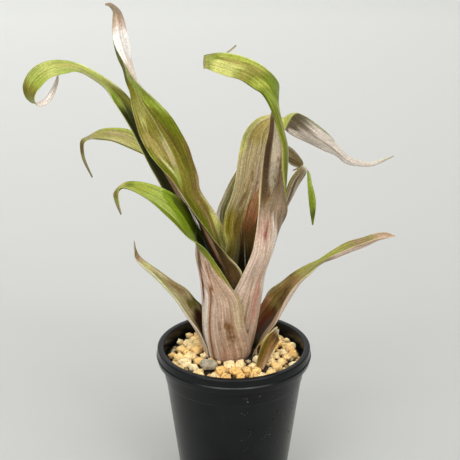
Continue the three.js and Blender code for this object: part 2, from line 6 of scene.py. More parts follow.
import bmesh
import bpy
import numpy as np
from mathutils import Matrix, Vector


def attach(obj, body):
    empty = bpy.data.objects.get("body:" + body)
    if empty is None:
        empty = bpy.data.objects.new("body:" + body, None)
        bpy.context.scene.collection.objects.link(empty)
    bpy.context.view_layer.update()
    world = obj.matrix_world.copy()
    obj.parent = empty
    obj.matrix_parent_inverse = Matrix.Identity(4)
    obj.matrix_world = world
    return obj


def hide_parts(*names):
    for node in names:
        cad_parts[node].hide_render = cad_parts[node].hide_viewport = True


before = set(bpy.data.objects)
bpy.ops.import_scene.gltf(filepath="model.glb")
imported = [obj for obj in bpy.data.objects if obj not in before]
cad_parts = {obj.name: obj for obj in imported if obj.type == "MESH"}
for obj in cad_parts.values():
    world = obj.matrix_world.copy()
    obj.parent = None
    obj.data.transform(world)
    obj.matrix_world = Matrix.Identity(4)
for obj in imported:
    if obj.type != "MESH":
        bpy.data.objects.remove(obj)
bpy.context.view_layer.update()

MM = 0.001

# Camera: the photograph's view, a square frame
CAMERA_PLACE = (-0.0022, -0.681, 0.4346)
CAMERA_PITCH_DOWN = 21.48
CAMERA_LENS = 102.05
CAMERA_SENSOR = 36.0
CAMERA_CLIP = 0.01

# Lamps: name, place, what it faces, width, height, power and colour; and the pale sky
PLANT_MIDDLE = (0, 0, 0.13)
SOFT_WHITE = (1, 0.985, 0.96)
LAMPS = (
    ("ceiling_softbox", (0, 0.5, 2.4), (0, 0.5, 0), 3.0, 3.0, 43, (1, 1, 1)),
    ("left_softbox", (-0.9, -1.3, 1.0), PLANT_MIDDLE, 1.0, 1.0, 11, SOFT_WHITE),
    ("right_softbox", (1.0, -1.2, 1.1), PLANT_MIDDLE, 1.0, 1.0, 11, SOFT_WHITE),
    ("front_strip", (0, -1.3, 1.7), PLANT_MIDDLE, 1.8, 0.25, 15, (1, 0.99, 0.97)),
)
SKY_COLOUR = (0.95, 0.96, 0.97, 1)
SKY_STRENGTH = 0.45

# Pot, as in the CAD
POT_HEIGHT = 95 * MM
POT_RIM_RADIUS = 45 * MM
POT_BASE_RADIUS = 30 * MM
POT_WALL_TOP_RADIUS = 41.4 * MM
POT_WALL = 1.8 * MM
POT_FLOOR = 3 * MM
POT_RIM_DEPTH = 9 * MM
POT_MOUTH_RADIUS = 40.8 * MM
POT_STEP_HEIGHT = 76.5 * MM
POT_STEP = 0.5 * MM
POT_LIP = 0.6 * MM
POT_LIP_DROP = 5.2 * MM
POT_LIP_CHAMFER = 0.7 * MM
POT_SIDES = 192
DRAIN_HOLES = 5
DRAIN_SIDES = 32
DRAIN_RADIUS = 3 * MM
DRAIN_CIRCLE = 19 * MM

# Gravel, in millimetres: the large grains lie at the same seeded places as in the CAD,
# and finer grit fills the gaps between them
GAP = 0.3
FILL_TOP = 86
HEAP_TOP = 90.5
HEAP_RADIUS = 13
FILL_SIDES = 96
GRAIN_SEED = 7
GRAIN_REACH = 7
GRAIN_SPACING = 6.9
GRAIN_NUDGE = 2.2
GRAIN_LEVEL = 1.4
GRAIN_LIFT = 1.6
GRAIN_MIN = 3.7
GRAIN_MAX = 5.4
GRAIN_SMALLER = (3.4, 2.8)
GRAIN_ROUGHNESS = 0.3
GRAIN_FLATNESS = (0.74, 0.7)
GRAIN_SPREAD = 0.24
GRAIN_WALL_SHARE = 0.9
GRAIN_DETAIL = 7
GRAIN_FLAT_SHARE = 0.8
GRAIN_LUMPS = (2.4, 0.14)
GRAIN_PITS = (6, 0.05)
GRAIN_TIP = 0.6
GRIT_DETAIL = 4
GRIT_SPACING = 4.3
GRIT_NUDGE = 1.2
GRIT_SIZES = (1.7, 2.6)
GRIT_LIFT = (-0.3, 0.9)
GRIT_CLEAR = 14.6
GRIT_SHARE = 0.8
GREY_PEBBLE = {"x": -14.3, "y": -19.5, "z": 92.2, "size": (5.2, 3.4, 2.8), "tilt": 0.2, "turn": 0.4}
PEBBLE_SEED = 41
PEBBLE_DETAIL = 14
PEBBLE_LUMPS = (2.2, 0.10)
PEBBLE_PITS = (7, 0.03)
PEBBLE_BODY = 0.92
CROWN_CLEAR = 13
PEBBLE_CLEAR = 2.6
PEBBLE_LONGER = 1.5
PEBBLE_SQUARENESS = 3.4
STUB_FOOT = (15.6, -19.6)
STUB_CLEAR = 0.8

# Tube of leaf bases, in millimetres
CROWN_X = -1.9
CROWN_LEAN = 0.05
CROWN_LEAN_FROM = 100
CROWN_HEIGHTS = (80, 84, 88, 94, 104, 114, 128, 142)
CROWN_RADII = (9.6, 10.7, 12.6, 14.7, 16.6, 17.4, 18.5, 20)
LAYER_PITCH = 1.6
LAYER_FIRST = 0.6
STEM_X = CROWN_X + CROWN_LEAN * (90 - CROWN_LEAN_FROM)

# Fine leaf meshes: columns across and how they crowd at the margins, steps between two
# drawn rows, thickness, ribs and waved margins. Cells are noise cells a row or a side.
LEAF_COLUMNS = 72
LEAF_SEED, LEAF_SEED_STEP = 100, 20
COLUMN_CROWDING = 0.8
LEAF_STEPS = 7
LEAF_MIDDLE = 1.0
LEAF_MARGIN = 0.45
LEAF_FULL_WIDTH = 8
RIB_HEIGHT = 0.09
RIB_PITCH = 1.5
RIB_CELLS = 0.22
RIB_FADE = 6
MARGIN_WAVE = 0.25
MARGIN_CELLS = (3.3, 0.9)
MARGIN_SHARPNESS = 5
TORN_ROWS = 3
UV_LENGTH = 10  # millimetres of leaf to one unit of its UV map

# Leaf rows, in millimetres and degrees. A base row is (height, layer from the
# outside, azimuth, half wrap). A blade row is (left margin x, y, z, right margin
# x, y, z, channel depth, sideways shift of the middle).
LEAVES = {
    "leaf_left_front": {
        "base": [(87, 0, -116, 70), (94, 0, -116, 82), (104, 0, -122, 73), (114, 0, -127, 63),
                 (130, 0, -127, 50)],
        "blade": [
            (-1.5, -18.5, 139.5, -20, -1, 144, 6),
            (-9, -18, 152, -21, -1, 154, 5),
            (-16.5, -18, 163, -21, -2, 161.5, 1.8),
            (-25, -20, 170, -21.5, -4, 170, 1.5),
            (-33.5, -24, 181.5, -26, -7, 183.5, 2.5),
            (-41.5, -30, 192, -33, -12, 192.5, 3),
            (-49.5, -36, 201, -42.5, -18, 199.5, 3),
            (-55.5, -41, 206, -51, -26, 204.5, 2),
            (-59, -45, 207.5, -57.5, -36, 207.5, 1),
            (-60, -48, 205.5, -62.5, -43, 204.5, 0.5),
            (-59.5, -49, 200, -61.5, -46, 199.5, 0.3),
            (-58.5, -49, 195, -59, -48, 194, 0),
        ],
    },
    "leaf_left_curled": {
        "base": [(90, 1, 180, 62), (98, 1, 182, 63), (114, 1, 183, 58), (130, 1, 183, 46)],
        "blade": [
            (-14.4, -5, 141, -12, 12, 142, 2.5),
            (-15, 0.5, 151, -10.5, 12.5, 152, 3),
            (-26, 0.5, 166, -19.5, 10, 164.5, 2.5),
            (-34.5, 0, 179.5, -25.5, 10, 178, 3),
            (-40.5, 1.5, 192, -31.5, 12, 189.5, 3),
            (-46.5, 3, 203.5, -37.5, 14, 200.5, 3),
            (-52.5, 6, 215, -44.5, 16, 213, 3),
            (-59, 9, 227, -51.5, 18, 227, 3),
            (-65, 10, 237, -58.5, 20, 238, 3),
            (-70, 11, 246, -66.5, 21, 245.5, 2.5),
            (-77, 10, 252, -75, 21, 251.5, 2),
            (-84, 9, 255.5, -84.5, 21, 256.5, 1.5),
            (-92, 9, 254.5, -94, 20, 259, 1),
            (-100, 9, 252, -103.5, 19, 258.5, 1),
            (-105.5, 9, 247, -111.5, 18, 254, 1),
            (-109, 10, 242, -116, 17, 246.5, 1),
            (-109.5, 11, 238, -115.5, 17, 239.5, 1),
            (-108, 12, 235.5, -111.5, 17, 235.5, 0.7),
            (-105, 14, 235, -106.5, 18, 236.5, 0.5),
            (-101.5, 17, 237, -103.5, 20, 239.5, 0.5),
            (-99, 20, 241.5, -101, 22, 243, 0.3),
            (-97.5, 22, 246.5, -99, 23.5, 247, 0.2),
            (-97.5, 24.5, 249.5, -98, 25, 249.5, 0),
        ],
    },
    "leaf_broad": {
        "base": [(92, 2, 182, 88), (98, 2, 184, 95), (114, 2, 187, 103), (130, 2, 188, 108)],
        "blade": [
            (4.5, -15.5, 147, 1.5, 14, 148.5, 15.5),
            (-3.5, -16, 157.5, -3, 12, 157, 12),
            (-10.5, -15.5, 166, -6.5, 9, 165.5, 9),
            (-16, -13.5, 173.5, -11, 7, 175, 6),
            (-22, -12, 181.5, -15, 5, 182, 4),
            (-27.5, -10.5, 189.5, -19, 4, 189.5, 4),
            (-33.5, -10, 199.5, -20, 2, 198, 4),
            (-39, -10, 206, -22.5, 0, 207, 4),
            (-45.5, -10, 214.5, -25, -2, 216.5, 4),
            (-50, -10, 223.5, -29, -4, 225.5, 4),
            (-52.5, -10, 232, -34.5, -6, 235.5, 4),
            (-54.5, -10, 241, -41.5, -8, 244, 3.5),
            (-55.5, -9, 248.5, -48.5, -11, 251.5, 3.5),
            (-57.5, -8, 254.5, -53, -14, 258, 4),
            (-59, -7, 261, -56.5, -15, 264.5, 4.5),
            (-61.5, -7, 267, -59.5, -16, 270.5, 6.5),
            (-63, -8, 274, -62, -16, 276.5, 7.5),
            (-63.5, -9, 281, -63, -16, 283, 7),
            (-63, -10, 288, -62.5, -16, 290, 5.3),
            (-62.5, -11.5, 293, -62.5, -15, 293.5, 3),
            (-64, -12, 296.5, -64.5, -14, 296, 1.2),
            (-66.5, -12.5, 297, -66.5, -13.5, 296.5, 0),
        ],
    },
    "leaf_left_back": {
        "base": [(88, 0, 125, 26), (96, 0, 125, 28), (114, 0, 125, 28), (130, 0, 123, 24)],
        "blade": [
            (-16.5, 16, 154, -9.5, 20, 155, 2.5),
            (-21.5, 20, 169, -14.5, 24, 170, 2),
            (-30, 24, 182, -22.5, 28, 184, 2),
            (-39.5, 28, 192, -33, 33, 195.5, 2),
            (-48.5, 32, 198.5, -43.5, 38, 203, 2),
            (-55.5, 36, 201, -53.5, 43, 207.5, 2),
            (-63.5, 39, 203.5, -61.5, 47, 211, 2),
            (-71, 42, 205.5, -70, 50, 211, 1.5),
            (-78, 45, 205.5, -78, 52, 209.5, 1),
            (-83.5, 46, 205.5, -85, 51, 206, 0.5),
            (-87.5, 47, 203, -89.5, 50, 203.5, 0.3),
            (-88, 47, 197.5, -90, 49, 197.5, 0.2),
            (-87, 48, 191, -88.5, 49, 190.5, 0.2),
            (-83.5, 49, 181, -84, 49.5, 180.5, 0),
        ],
    },
    "leaf_right_tall": {
        "base": [(90, 1, -40, 66), (98, 1, -40, 70), (114, 1, -38, 70), (130, 1, -33, 65)],
        "blade": [
            (17.5, 12, 142, 3, -17.7, 143, 6.4),
            (21, 10, 154.5, 9.5, -15, 157.5, 6),
            (26, 6, 166, 12, -12, 168.5, 4),
            (29.5, -3, 178.5, 13.5, -8, 180, 1),
            (28, -9, 191.5, 14, -1, 188, -5, -0.15),
            (26.5, -10, 205.5, 15, 4, 199.5, -7, -0.15),
            (26, -11, 217.5, 16.5, 6, 212, -7, -0.1),
            (23.5, -12, 227.5, 19, 7, 222.5, -5, -0.1),
            (20, -15, 239.5, 20.5, 4, 234.5, -4),
            (15, -19, 250, 24, -1, 246.5, -2.5),
            (10, -24, 255, 22.5, -7, 255.5, -1.5),
            (3, -29, 261, 14, -13, 265, -1),
            (-4, -33, 264, 4, -19, 271, 0),
            (-10, -36, 267, -5.5, -24, 274, 0),
            (-14, -35.5, 268.5, -13, -25, 273.5, 0),
            (-15.5, -31, 267.5, -15.5, -22, 272, 0),
            (-14.5, -24, 267, -14, -17, 271, 0),
            (-9.5, -18, 268.5, -9.5, -13, 270.5, 0),
            (-4, -12, 270.5, -4, -9, 270.5, 0),
            (1, -8, 273.5, 1, -7, 274, 0),
        ],
    },
    "leaf_back_tall": {
        "base": [(96, 3, 62, 82), (102, 3, 62, 85), (114, 3, 65, 85), (130, 3, 72, 82)],
        "blade": [
            (-4.5, 3, 153.5, 14, 5, 154.5, 5.5),
            (-6, 3, 164, 16, 6, 165, 5.5),
            (-5, 4, 173.5, 18, 7, 174, 5.5),
            (-1.5, 6, 183, 20.5, 8, 184, 5),
            (1, 7, 193.5, 23.5, 9, 194, 5),
            (2, 9, 203, 25.5, 9, 204.5, 4.5),
            (3.5, 12, 211.5, 27.5, 10, 213, 4),
            (6.5, 15, 220, 27.5, 10.5, 217.5, 3.5),
            (14, 19, 226.5, 27.5, 11, 220, 2.5),
            (24.5, 23, 226.5, 28, 12, 221.5, -1),
            (29, 28, 217, 33.5, 15.5, 229.5, -3.5),
            (34.5, 30, 212, 39, 20, 227.5, -1.5),
            (44, 33, 206.5, 47.5, 26, 220, 1),
            (52.5, 37, 201, 55, 32, 212, 1),
            (59.5, 41, 197, 61.5, 38, 202.5, 0.7),
            (65.5, 45, 191, 67, 43, 196, 0.5),
            (73, 49, 188, 74, 48, 191.5, 0.4),
            (83, 55, 186, 83, 54.5, 188.5, 0.2),
            (95, 60, 190, 95.5, 60, 190.5, 0),
        ],
    },
    "leaf_back": {
        "base": [(90, 1, 80, 32), (98, 1, 80, 32), (114, 1, 82, 32), (130, 1, 82, 32)],
        "blade": [
            (-8.5, 17, 155, 9.5, 18, 156.5, 3),
            (-10, 19, 168.5, 8, 20, 169.5, 3),
            (-5.5, 22, 180, 11.5, 22, 181.5, 3),
            (0, 25, 190.5, 16, 24, 192, 3),
            (7.5, 28, 200.5, 21.5, 24, 200, 3),
            (16, 32, 205.5, 26.5, 25, 201, 2.5),
            (24.5, 35, 206.5, 30.5, 26, 199.5, 2),
            (32, 36, 204, 32.5, 27, 196.5, 1.5),
            (37, 35, 199.5, 35.5, 28, 194.5, 1),
            (40, 33.5, 195, 37.5, 30, 193.5, 0.4),
            (38.5, 32, 192.5, 36.5, 30, 193, 0.2),
            (34, 30, 191.5, 34, 29.5, 192, 0),
        ],
    },
    "leaf_right_folded": {
        "base": [(92, 2, -4, 46), (98, 2, -4, 48), (114, 2, -4, 48), (130, 2, -4, 46)],
        "blade": [
            (15.5, 12, 148.5, 14.5, -5, 150, 2.5),
            (19.5, 12.5, 160, 19, -3, 162.5, 2),
            (26.5, 10, 173, 24, -1, 175, 2),
            (32.5, 8.5, 183, 28, 2.5, 185.5, 1.5),
            (36.5, 8, 191, 31, 3.5, 194.5, 1),
            (39.5, 7, 196.5, 35.5, 4, 201, 0.5),
            (40.5, 8.5, 198, 39, 6, 202.5, 0.3),
            (42.5, 11, 196.5, 41, 9, 198, 0.3),
            (44, 13, 189.5, 41.5, 12, 190.5, 0.3),
            (46, 14, 181.5, 42.5, 14, 180.5, 0.5),
            (46.5, 15, 174, 43.5, 15, 173, 0.4),
            (45.5, 16, 163.5, 45, 16, 163.5, 0),
        ],
    },
    "leaf_low_right": {
        "base": [(84, -1, 12, 34), (90, -1, 14, 38), (95, -1, 16, 42)],
        "blade": [
            (12.5, 14.5, 107, 17, -8, 102.5, 3.5),
            (17.5, 12, 118, 22.5, -11, 112.5, 5),
            (21, 13, 124, 26, -12, 122, 6),
            (27.5, 10, 130.5, 30, -13, 131.5, 5),
            (34, 6, 138, 35.5, -13, 139.5, 3.5),
            (41.5, 1, 145, 42, -12, 145, 2),
            (48, -3, 150, 48, -10, 150, 1),
            (54, -6, 156, 54, -13, 156, 3),
            (63, -9, 163, 62.5, -16, 161.5, 4),
            (71, -12.5, 167, 70, -19, 166, 3.5),
            (78, -16, 171, 77.5, -21, 169.5, 2.5),
            (83.5, -19, 172.5, 83.5, -22, 171, 1.5),
            (87.5, -22, 172, 87, -22.5, 171.5, 0),
        ],
    },
    "leaf_low_left": {
        "base": [(84, -1, 170, 38), (90, -1, 170, 42), (97, -1, 172, 42)],
        "blade": [
            (-19.5, -9, 107, -18, 12, 113, 5),
            (-25, -9, 115.5, -22.5, 11, 119, 4.5),
            (-32, -6.5, 126, -27.5, 11, 125.5, 4),
            (-39, -4, 134, -35.5, 11, 131, 3),
            (-46, 0, 140, -43, 12, 136.5, 2.5),
            (-51.5, 5, 142.5, -49, 13, 140.5, 2),
            (-56.5, 10, 145.5, -54, 15, 144, 1.5),
            (-57, 13, 149.5, -56.5, 16, 148.5, 0.5),
            (-57.5, 17, 153, -57.5, 17.5, 153, 0),
        ],
    },
    "leaf_stub": {
        "base": [],
        "blade": [
            (12.5, -22, 90, 16.5, -20.5, 89.3, 0.6),
            (13.7, -19.5, 96.3, 19, -16.5, 93, 1.8),
            (16, -19, 104, 23, -14.5, 100, 2.5),
            (19.5, -18.5, 110, 26.5, -13, 106, 2.5),
            (23.8, -17.5, 114.8, 28.5, -12, 109.7, 1.8),
        ],
    },
}

# Colours of the plant, and of the painted shade and highlights on it, as sRGB numbers from 0 to 255
COLOURS = {
    "white": (254, 249, 242),
    "cream": (226, 212, 186),
    "cream_pink": (232, 219, 206),
    "pink_light": (214, 188, 169),
    "pink": (186, 158, 136),
    "pink_tan": (172, 144, 117),
    "pink_brown": (158, 127, 102),
    "rose": (190, 138, 118),
    "red": (100, 14, 8),
    "bright_red": (156, 52, 40),
    "groove": (166, 122, 84),
    "grey_cream": (154, 145, 122),
    "grey_olive": (142, 132, 106),
    "grey_brown": (128, 112, 86),
    "tip_grey": (136, 120, 96),
    "pale_tan": (184, 170, 126),
    "tan_pink": (176, 158, 116),
    "tan": (168, 154, 84),
    "gold": (166, 148, 74),
    "olive_gold": (142, 126, 42),
    "brown_gold": (116, 94, 34),
    "brown": (118, 90, 46),
    "rust": (118, 70, 28),
    "rust_light": (156, 104, 66),
    "dull_cream": (202, 189, 162),
    "tan_brown": (146, 106, 76),
    "stub_brown": (132, 98, 48),
    "dark_brown": (86, 62, 26),
    "brown_black": (64, 46, 16),
    "dark_red_brown": (58, 26, 6),
    "red_brown": (112, 52, 16),
    "night": (26, 20, 3),
    "black_green": (32, 34, 0),
    "deep_green": (58, 66, 0),
    "dark_olive": (92, 88, 10),
    "olive": (122, 114, 36),
    "olive_light": (150, 146, 76),
    "moss": (142, 140, 96),
    "arch_green": (149, 158, 72),
    "grey_green": (150, 152, 112),
    "vivid_dark": (106, 115, 12),
    "vivid": (119, 140, 30),
    "vivid_light": (149, 166, 56),
    "light_green": (166, 180, 85),
    "yellow_green": (178, 186, 78),
    "pale_yellow": (196, 195, 112),
    "pale_green": (206, 212, 148),
}

# What each leaf's two faces show: the colour all over, and strokes laid over it. A stroke
# is (colour, strength, stations); a station is (row, from side, to side), and sides run
# from -1 at the left margin to 1 at the right. ROOT, TIP, LEFT and RIGHT lie beyond the
# ends and margins. Spots are (face, colour, rows, sides, count).
ROOT, TIP, LEFT, RIGHT = -9, 99, -2, 2


def band(colour, strength, first_row, last_row, low=LEFT, high=RIGHT):
    """A stroke that keeps to the same sides from row to row"""
    return colour, strength, (first_row, low, high), (last_row, low, high)


PAINT = {
    "leaf_left_front": {
        "upper": ("vivid", [
            # Painted shade: dark green and near-black strokes along the right margin
            ("deep_green", 0.9, (7.4, 0.5, RIGHT), (8, 0.4, RIGHT), (9, 0.4, RIGHT), (10, 0.75, RIGHT)),
            ("night", 0.6, (8.7, 0.75, RIGHT), (9.3, 0.7, RIGHT)),
            ("vivid_dark", 0.8, (8, LEFT, -0.45), (9.4, LEFT, -0.55)),
            ("light_green", 0.85, (8.9, -0.45, -0.1), (9.5, -0.6, 0.1), (10.2, -0.6, 0.45),
             (11.2, LEFT, RIGHT)),
            ("vivid", 0.6, (9.6, LEFT, -0.75), (10.4, LEFT, -0.8)),
            band("yellow_green", 0.8, 11, 12.3),
            band("pale_yellow", 0.8, 11.7, 12.4, LEFT, -0.45),
            band("tan", 0.9, 12.7, 13.3),
            band("brown", 0.9, 13.7, 14.4),
            band("tip_grey", 0.9, 14.8, TIP),
            ("pale_green", 0.5, (8, -0.52, -0.47), (11, -0.5, -0.44)),
            ("olive", 0.5, (9.5, 0.1, 0.15), (13, 0.2, 0.24)),
        ]),
        "under": ("pink", [
            ("cream_pink", 0.9, (ROOT, 0.33, RIGHT), (3.6, 0.25, RIGHT), (4.3, 0.22, RIGHT),
             (4.8, 0.6, RIGHT)),
            band("pink_tan", 0.6, 2.2, 4.6, LEFT, -0.5),
            ("tan_brown", 0.7, (2, -0.66, -0.4), (3.4, -0.72, -0.42)),
            ("pink_brown", 0.6, (4.4, -0.8, -0.35), (5.8, -0.8, -0.5)),
            band("pink_brown", 0.5, ROOT, 2.4, -0.5, 0),
            band("rose", 0.35, ROOT, 1.6, -0.7, -0.1),
            ("pink_light", 0.6, (4.6, 0.05, 0.3), (5.6, -0.3, 0.1), (6.4, -0.5, -0.15)),
            ("pink_tan", 0.4, (ROOT, -0.9, -0.3), (2.6, -0.9, -0.35)),
            ("pink_light", 0.7, (ROOT, 0.0, 0.1), (3.5, -0.04, 0.06), (4.4, -0.16, -0.06)),
            ("rust_light", 0.75, (ROOT, 0.13, 0.24), (3.5, 0.09, 0.2), (4.4, -0.06, 0.08), (5.4, -0.42, -0.3),
             (6, -0.5, -0.42)),
            ("rust", 0.85, (ROOT, 0.16, 0.2), (3.5, 0.13, 0.17), (4.4, -0.01, 0.04), (5.6, -0.45, -0.4),
             (6.2, -0.6, -0.54)),
            ("dark_brown", 0.7, (5.7, -0.62, -0.54), (6.4, -0.74, -0.66)),
            ("red", 1, (3.5, 0.54, 0.66), (4.2, 0.48, 0.62), (5, 0.26, 0.42), (5.6, 0.04, 0.22)),
            ("bright_red", 0.7, (3.6, 0.49, 0.54), (4.4, 0.43, 0.48)),
            ("dark_brown", 0.9, (5.4, -0.04, 0.2), (6, -0.18, 0.06), (6.9, -0.28, -0.02)),
            ("pink_tan", 0.5, (1.5, -0.2, -0.1), (5, -0.4, -0.32)),
            ("gold", 0.4, (3, -0.98, -0.9), (4.6, LEFT, -0.9)),
            ("pale_tan", 0.4, (3, -0.84, -0.66), (4.2, -0.9, -0.7)),
            ("olive", 0.95, (4.9, LEFT, -0.95), (5.3, LEFT, -0.87), (5.9, LEFT, -0.76), (6.4, LEFT, -0.76),
             (6.9, LEFT, -0.45), (7.3, LEFT, 0.5), (TIP, LEFT, RIGHT)),
            ("vivid_dark", 0.9, (6, LEFT, -0.72), (6.4, LEFT, -0.76), (7, LEFT, 0), (TIP, LEFT, RIGHT)),
        ]),
        "spots": [
            ("under", "brown", 2.1, 3.2, -0.6, -0.36, 30),
            ("under", "rust", 1.8, 3.2, -0.56, -0.38, 14),
            ("under", "brown", 2.9, 3.2, -0.24, -0.18, 2),
            ("under", "pink_brown", 0.8, 3.4, -0.9, -0.2, 30),
        ],
    },
    "leaf_left_curled": {
        "upper": ("arch_green", [
            band("deep_green", 0.97, ROOT, 11.8),
            # Painted shade: the near-black middle of the channel
            ("black_green", 0.9, (4, -0.45, 0.4), (10, -0.4, 0.5), (11.6, -0.6, 0.5)),
            ("pink_brown", 0.85, (6.7, 0.5, 0.92), (8, 0.5, 0.9), (9.3, 0.5, 0.95)),
            # Painted highlight: the white strip along the right margin
            ("white", 1, (5.4, 0.92, RIGHT), (7.4, 0.88, RIGHT)),
            band("pink_light", 0.9, 7, 8.8, 0.8, RIGHT),
            band("olive_light", 0.6, 7.4, 11.4, LEFT, -0.87),
            ("vivid", 0.95, (12.1, -0.7, 0.35), (12.8, LEFT, 0.45)),
            band("vivid_dark", 0.9, 11.9, 12.4, LEFT, -0.45),
            ("dark_olive", 0.9, (11.3, 0.4, RIGHT), (12.5, 0.4, RIGHT), (13.2, 0.6, RIGHT)),
            band("light_green", 0.6, 12.8, 13.4, LEFT, 0.1),
            ("olive_light", 0.85, (12.8, 0.25, 0.85), (13.5, 0.3, 0.85)),
            ("vivid_light", 0.6, (14.5, LEFT, -0.45), (16.4, LEFT, -0.5)),
            ("tan", 0.6, (14.2, 0.15, 0.65), (16.4, 0.1, 0.6)),
            band("pale_green", 0.7, 12.8, 15.4, 0.88, RIGHT),
            band("pale_yellow", 0.5, 16.6, 17.3),
            ("vivid_light", 0.7, (17.7, LEFT, -0.3), (18.6, LEFT, 0)),
            band("olive", 0.9, 18.6, 20),
            band("moss", 0.8, 20, 20.6, LEFT, 0.2),
            ("dark_olive", 0.5, (19, 0.3, RIGHT), (20.6, 0.2, RIGHT)),
            ("pale_yellow", 0.5, (13, -0.12, -0.06), (18, -0.15, -0.1)),
            ("olive_gold", 0.5, (14, 0.3, 0.35), (18, 0.25, 0.3)),
        ]),
        "under": ("pink_tan", [
            band("brown_black", 0.6, 3, 8),
            band("pale_green", 0.8, 9.5, 18, LEFT, -0.7),
            band("cream_pink", 0.95, 20.6, TIP),
            band("white", 0.95, 22.4, 24.4, -0.4, RIGHT),
            band("tip_grey", 0.45, 25.2, TIP),
        ]),
        "spots": [],
    },
    "leaf_broad": {
        "upper": ("olive", [
            band("night", 0.8, ROOT, 3.2),
            ("pale_tan", 0.8, (3.4, 0.55, RIGHT), (4.6, 0.66, RIGHT), (5.4, 0.8, RIGHT)),
            ("pale_yellow", 0.9, (4.4, 0.72, RIGHT), (6, 0.76, RIGHT), (7.4, 0.8, RIGHT)),
            ("vivid_dark", 0.9, (4.6, 0.4, 0.75), (5.6, 0.3, 0.6), (7, -0.1, 0.5), (8, -0.4, 0.15),
             (8.8, -0.5, 0.1)),
            ("dark_olive", 0.8, (7.2, -0.2, 0.1), (8, -0.3, 0.05), (9.2, -0.45, 0)),
            ("pink_brown", 0.45, (5.8, 0.62, 0.72), (6.5, 0.5, 0.68), (7.4, 0.5, 0.66), (8.6, 0.46, 0.6)),
            ("brown", 0.6, (7.4, 0.6, 0.8), (9, 0.55, 0.8), (10.4, 0.6, 0.9)),
            ("pale_tan", 0.8, (6.8, 0.9, RIGHT), (8.8, 0.86, RIGHT)),
            band("pink_tan", 0.6, 8.8, 10.2, 0.88, RIGHT),
            band("white", 0.6, 8.8, 9.3, LEFT, -0.88),
            ("vivid_dark", 0.9, (9.5, -0.88, -0.6), (10.4, -0.82, -0.62), (11.3, LEFT, -0.78)),
            ("light_green", 0.75, (9.6, -0.5, -0.05), (10.6, -0.5, 0.05)),
            # Painted highlight: the pale green stroke left of the middle in rows 10 to 12
            ("pale_green", 0.95, (10.4, -0.46, -0.3), (10.9, -0.54, -0.34), (11.8, -0.68, -0.52)),
            ("pale_tan", 0.8, (10.7, -0.15, 0.1), (11.4, -0.15, 0.12), (12.6, -0.15, 0.12)),
            ("dark_olive", 0.8, (10.6, 0.5, 0.8), (11.2, 0.5, 0.8), (12.4, 0.42, 0.75), (13.4, 0.45, 0.8)),
            ("brown", 0.75, (10.4, 0.86, RIGHT), (12.4, 0.88, RIGHT)),
            ("tan", 0.9, (11.6, -0.8, -0.2), (12.4, -0.75, -0.2), (13.3, LEFT, -0.55)),
            band("vivid_light", 0.6, 11.5, 12.2, LEFT, -0.85),
            ("olive_light", 0.5, (12.4, -0.2, 0), (13.2, -0.35, -0.1)),
            ("vivid_dark", 0.9, (13, 0.5, RIGHT), (13.6, 0.3, RIGHT), (14.3, 0.1, 0.5)),
            ("dark_brown", 0.85, (11.2, 0.54, 0.62), (12.6, 0.38, 0.46), (13.6, 0.22, 0.29),
             (14.4, 0.06, 0.11)),
            ("brown", 0.75, (11.6, -0.2, -0.13), (12.5, -0.35, -0.27), (13.4, -0.6, -0.52)),
            ("pale_yellow", 0.8, (13.5, -0.75, -0.48), (14.4, -0.75, -0.45)),
            band("tan", 0.6, 13.6, 15, LEFT, -0.82),
            ("olive_light", 0.8, (14.1, -0.42, -0.1), (15.4, LEFT, -0.1)),
            ("vivid_light", 0.95, (14.2, 0.5, RIGHT), (14.8, 0.15, RIGHT), (15.4, -0.05, RIGHT)),
            ("light_green", 0.9, (15.6, -0.45, RIGHT), (17, -0.8, RIGHT)),
            ("pale_green", 0.7, (14.6, 0.88, RIGHT), (17, 0.85, RIGHT)),
            band("pale_green", 0.5, 17, TIP),
            band("deep_green", 0.7, 16.6, 20, LEFT, -0.85),
            ("pale_green", 0.6, (11.4, 0.14, 0.18), (14, -0.03, 0.01), (16, -0.2, -0.17)),
            ("olive_gold", 0.6, (9, 0.2, 0.25), (13, 0.1, 0.14)),
        ]),
        # Painted shade: the under face is near black up to row 9, where its near wall lies in shade
        "under": ("brown_black", [
            ("dark_brown", 0.8, (3.4, LEFT, -0.7), (5, LEFT, -0.6)),
            ("night", 0.95, (4.6, -0.52, RIGHT), (5.4, -0.58, RIGHT), (6.4, -0.66, RIGHT), (8, -0.6, RIGHT)),
            ("pink_brown", 0.95, (4.5, -0.7, -0.62), (5.2, -0.78, -0.68), (6, -0.94, -0.76),
             (7, -0.96, -0.8)),
            ("red", 0.7, (5.2, -0.66, -0.6), (6, -0.74, -0.68), (6.8, -0.78, -0.72)),
            ("pale_tan", 0.85, (3.2, LEFT, -0.965), (5, LEFT, -0.975)),
            band("pink", 0.95, 9.4, 16),
            band("cream_pink", 1, 16, TIP),
            ("pink_tan", 0.5, (16.4, 0.8, RIGHT), (18.4, 0.86, RIGHT)),
            band("white", 0.95, 18.7, 21.1),
            ("pink_light", 0.7, (17, 0.68, 0.78), (19, 0.7, 0.8), (21.2, 0.68, 0.76)),
            band("pink_light", 0.85, 21.1, 22.6),
            band("pink_tan", 0.9, 21.6, TIP),
            band("tip_grey", 0.9, 22.3, TIP),
        ]),
        "spots": [],
    },
    "leaf_left_back": {
        "upper": ("olive_light", [
            band("olive", 0.8, ROOT, 7),
            band("olive_light", 0.6, 8, 9.3, LEFT, 0),
            ("pale_tan", 0.5, (9.7, -0.78, -0.45), (11.4, -0.8, -0.3)),
            ("tan_pink", 0.6, (9.8, 0.1, 0.45), (11.4, 0.2, 0.7)),
            ("vivid_light", 0.6, (8, 0.82, RIGHT), (12.4, 0.85, RIGHT)),
            ("deep_green", 0.85, (8.4, LEFT, -0.9), (12.6, LEFT, -0.88)),
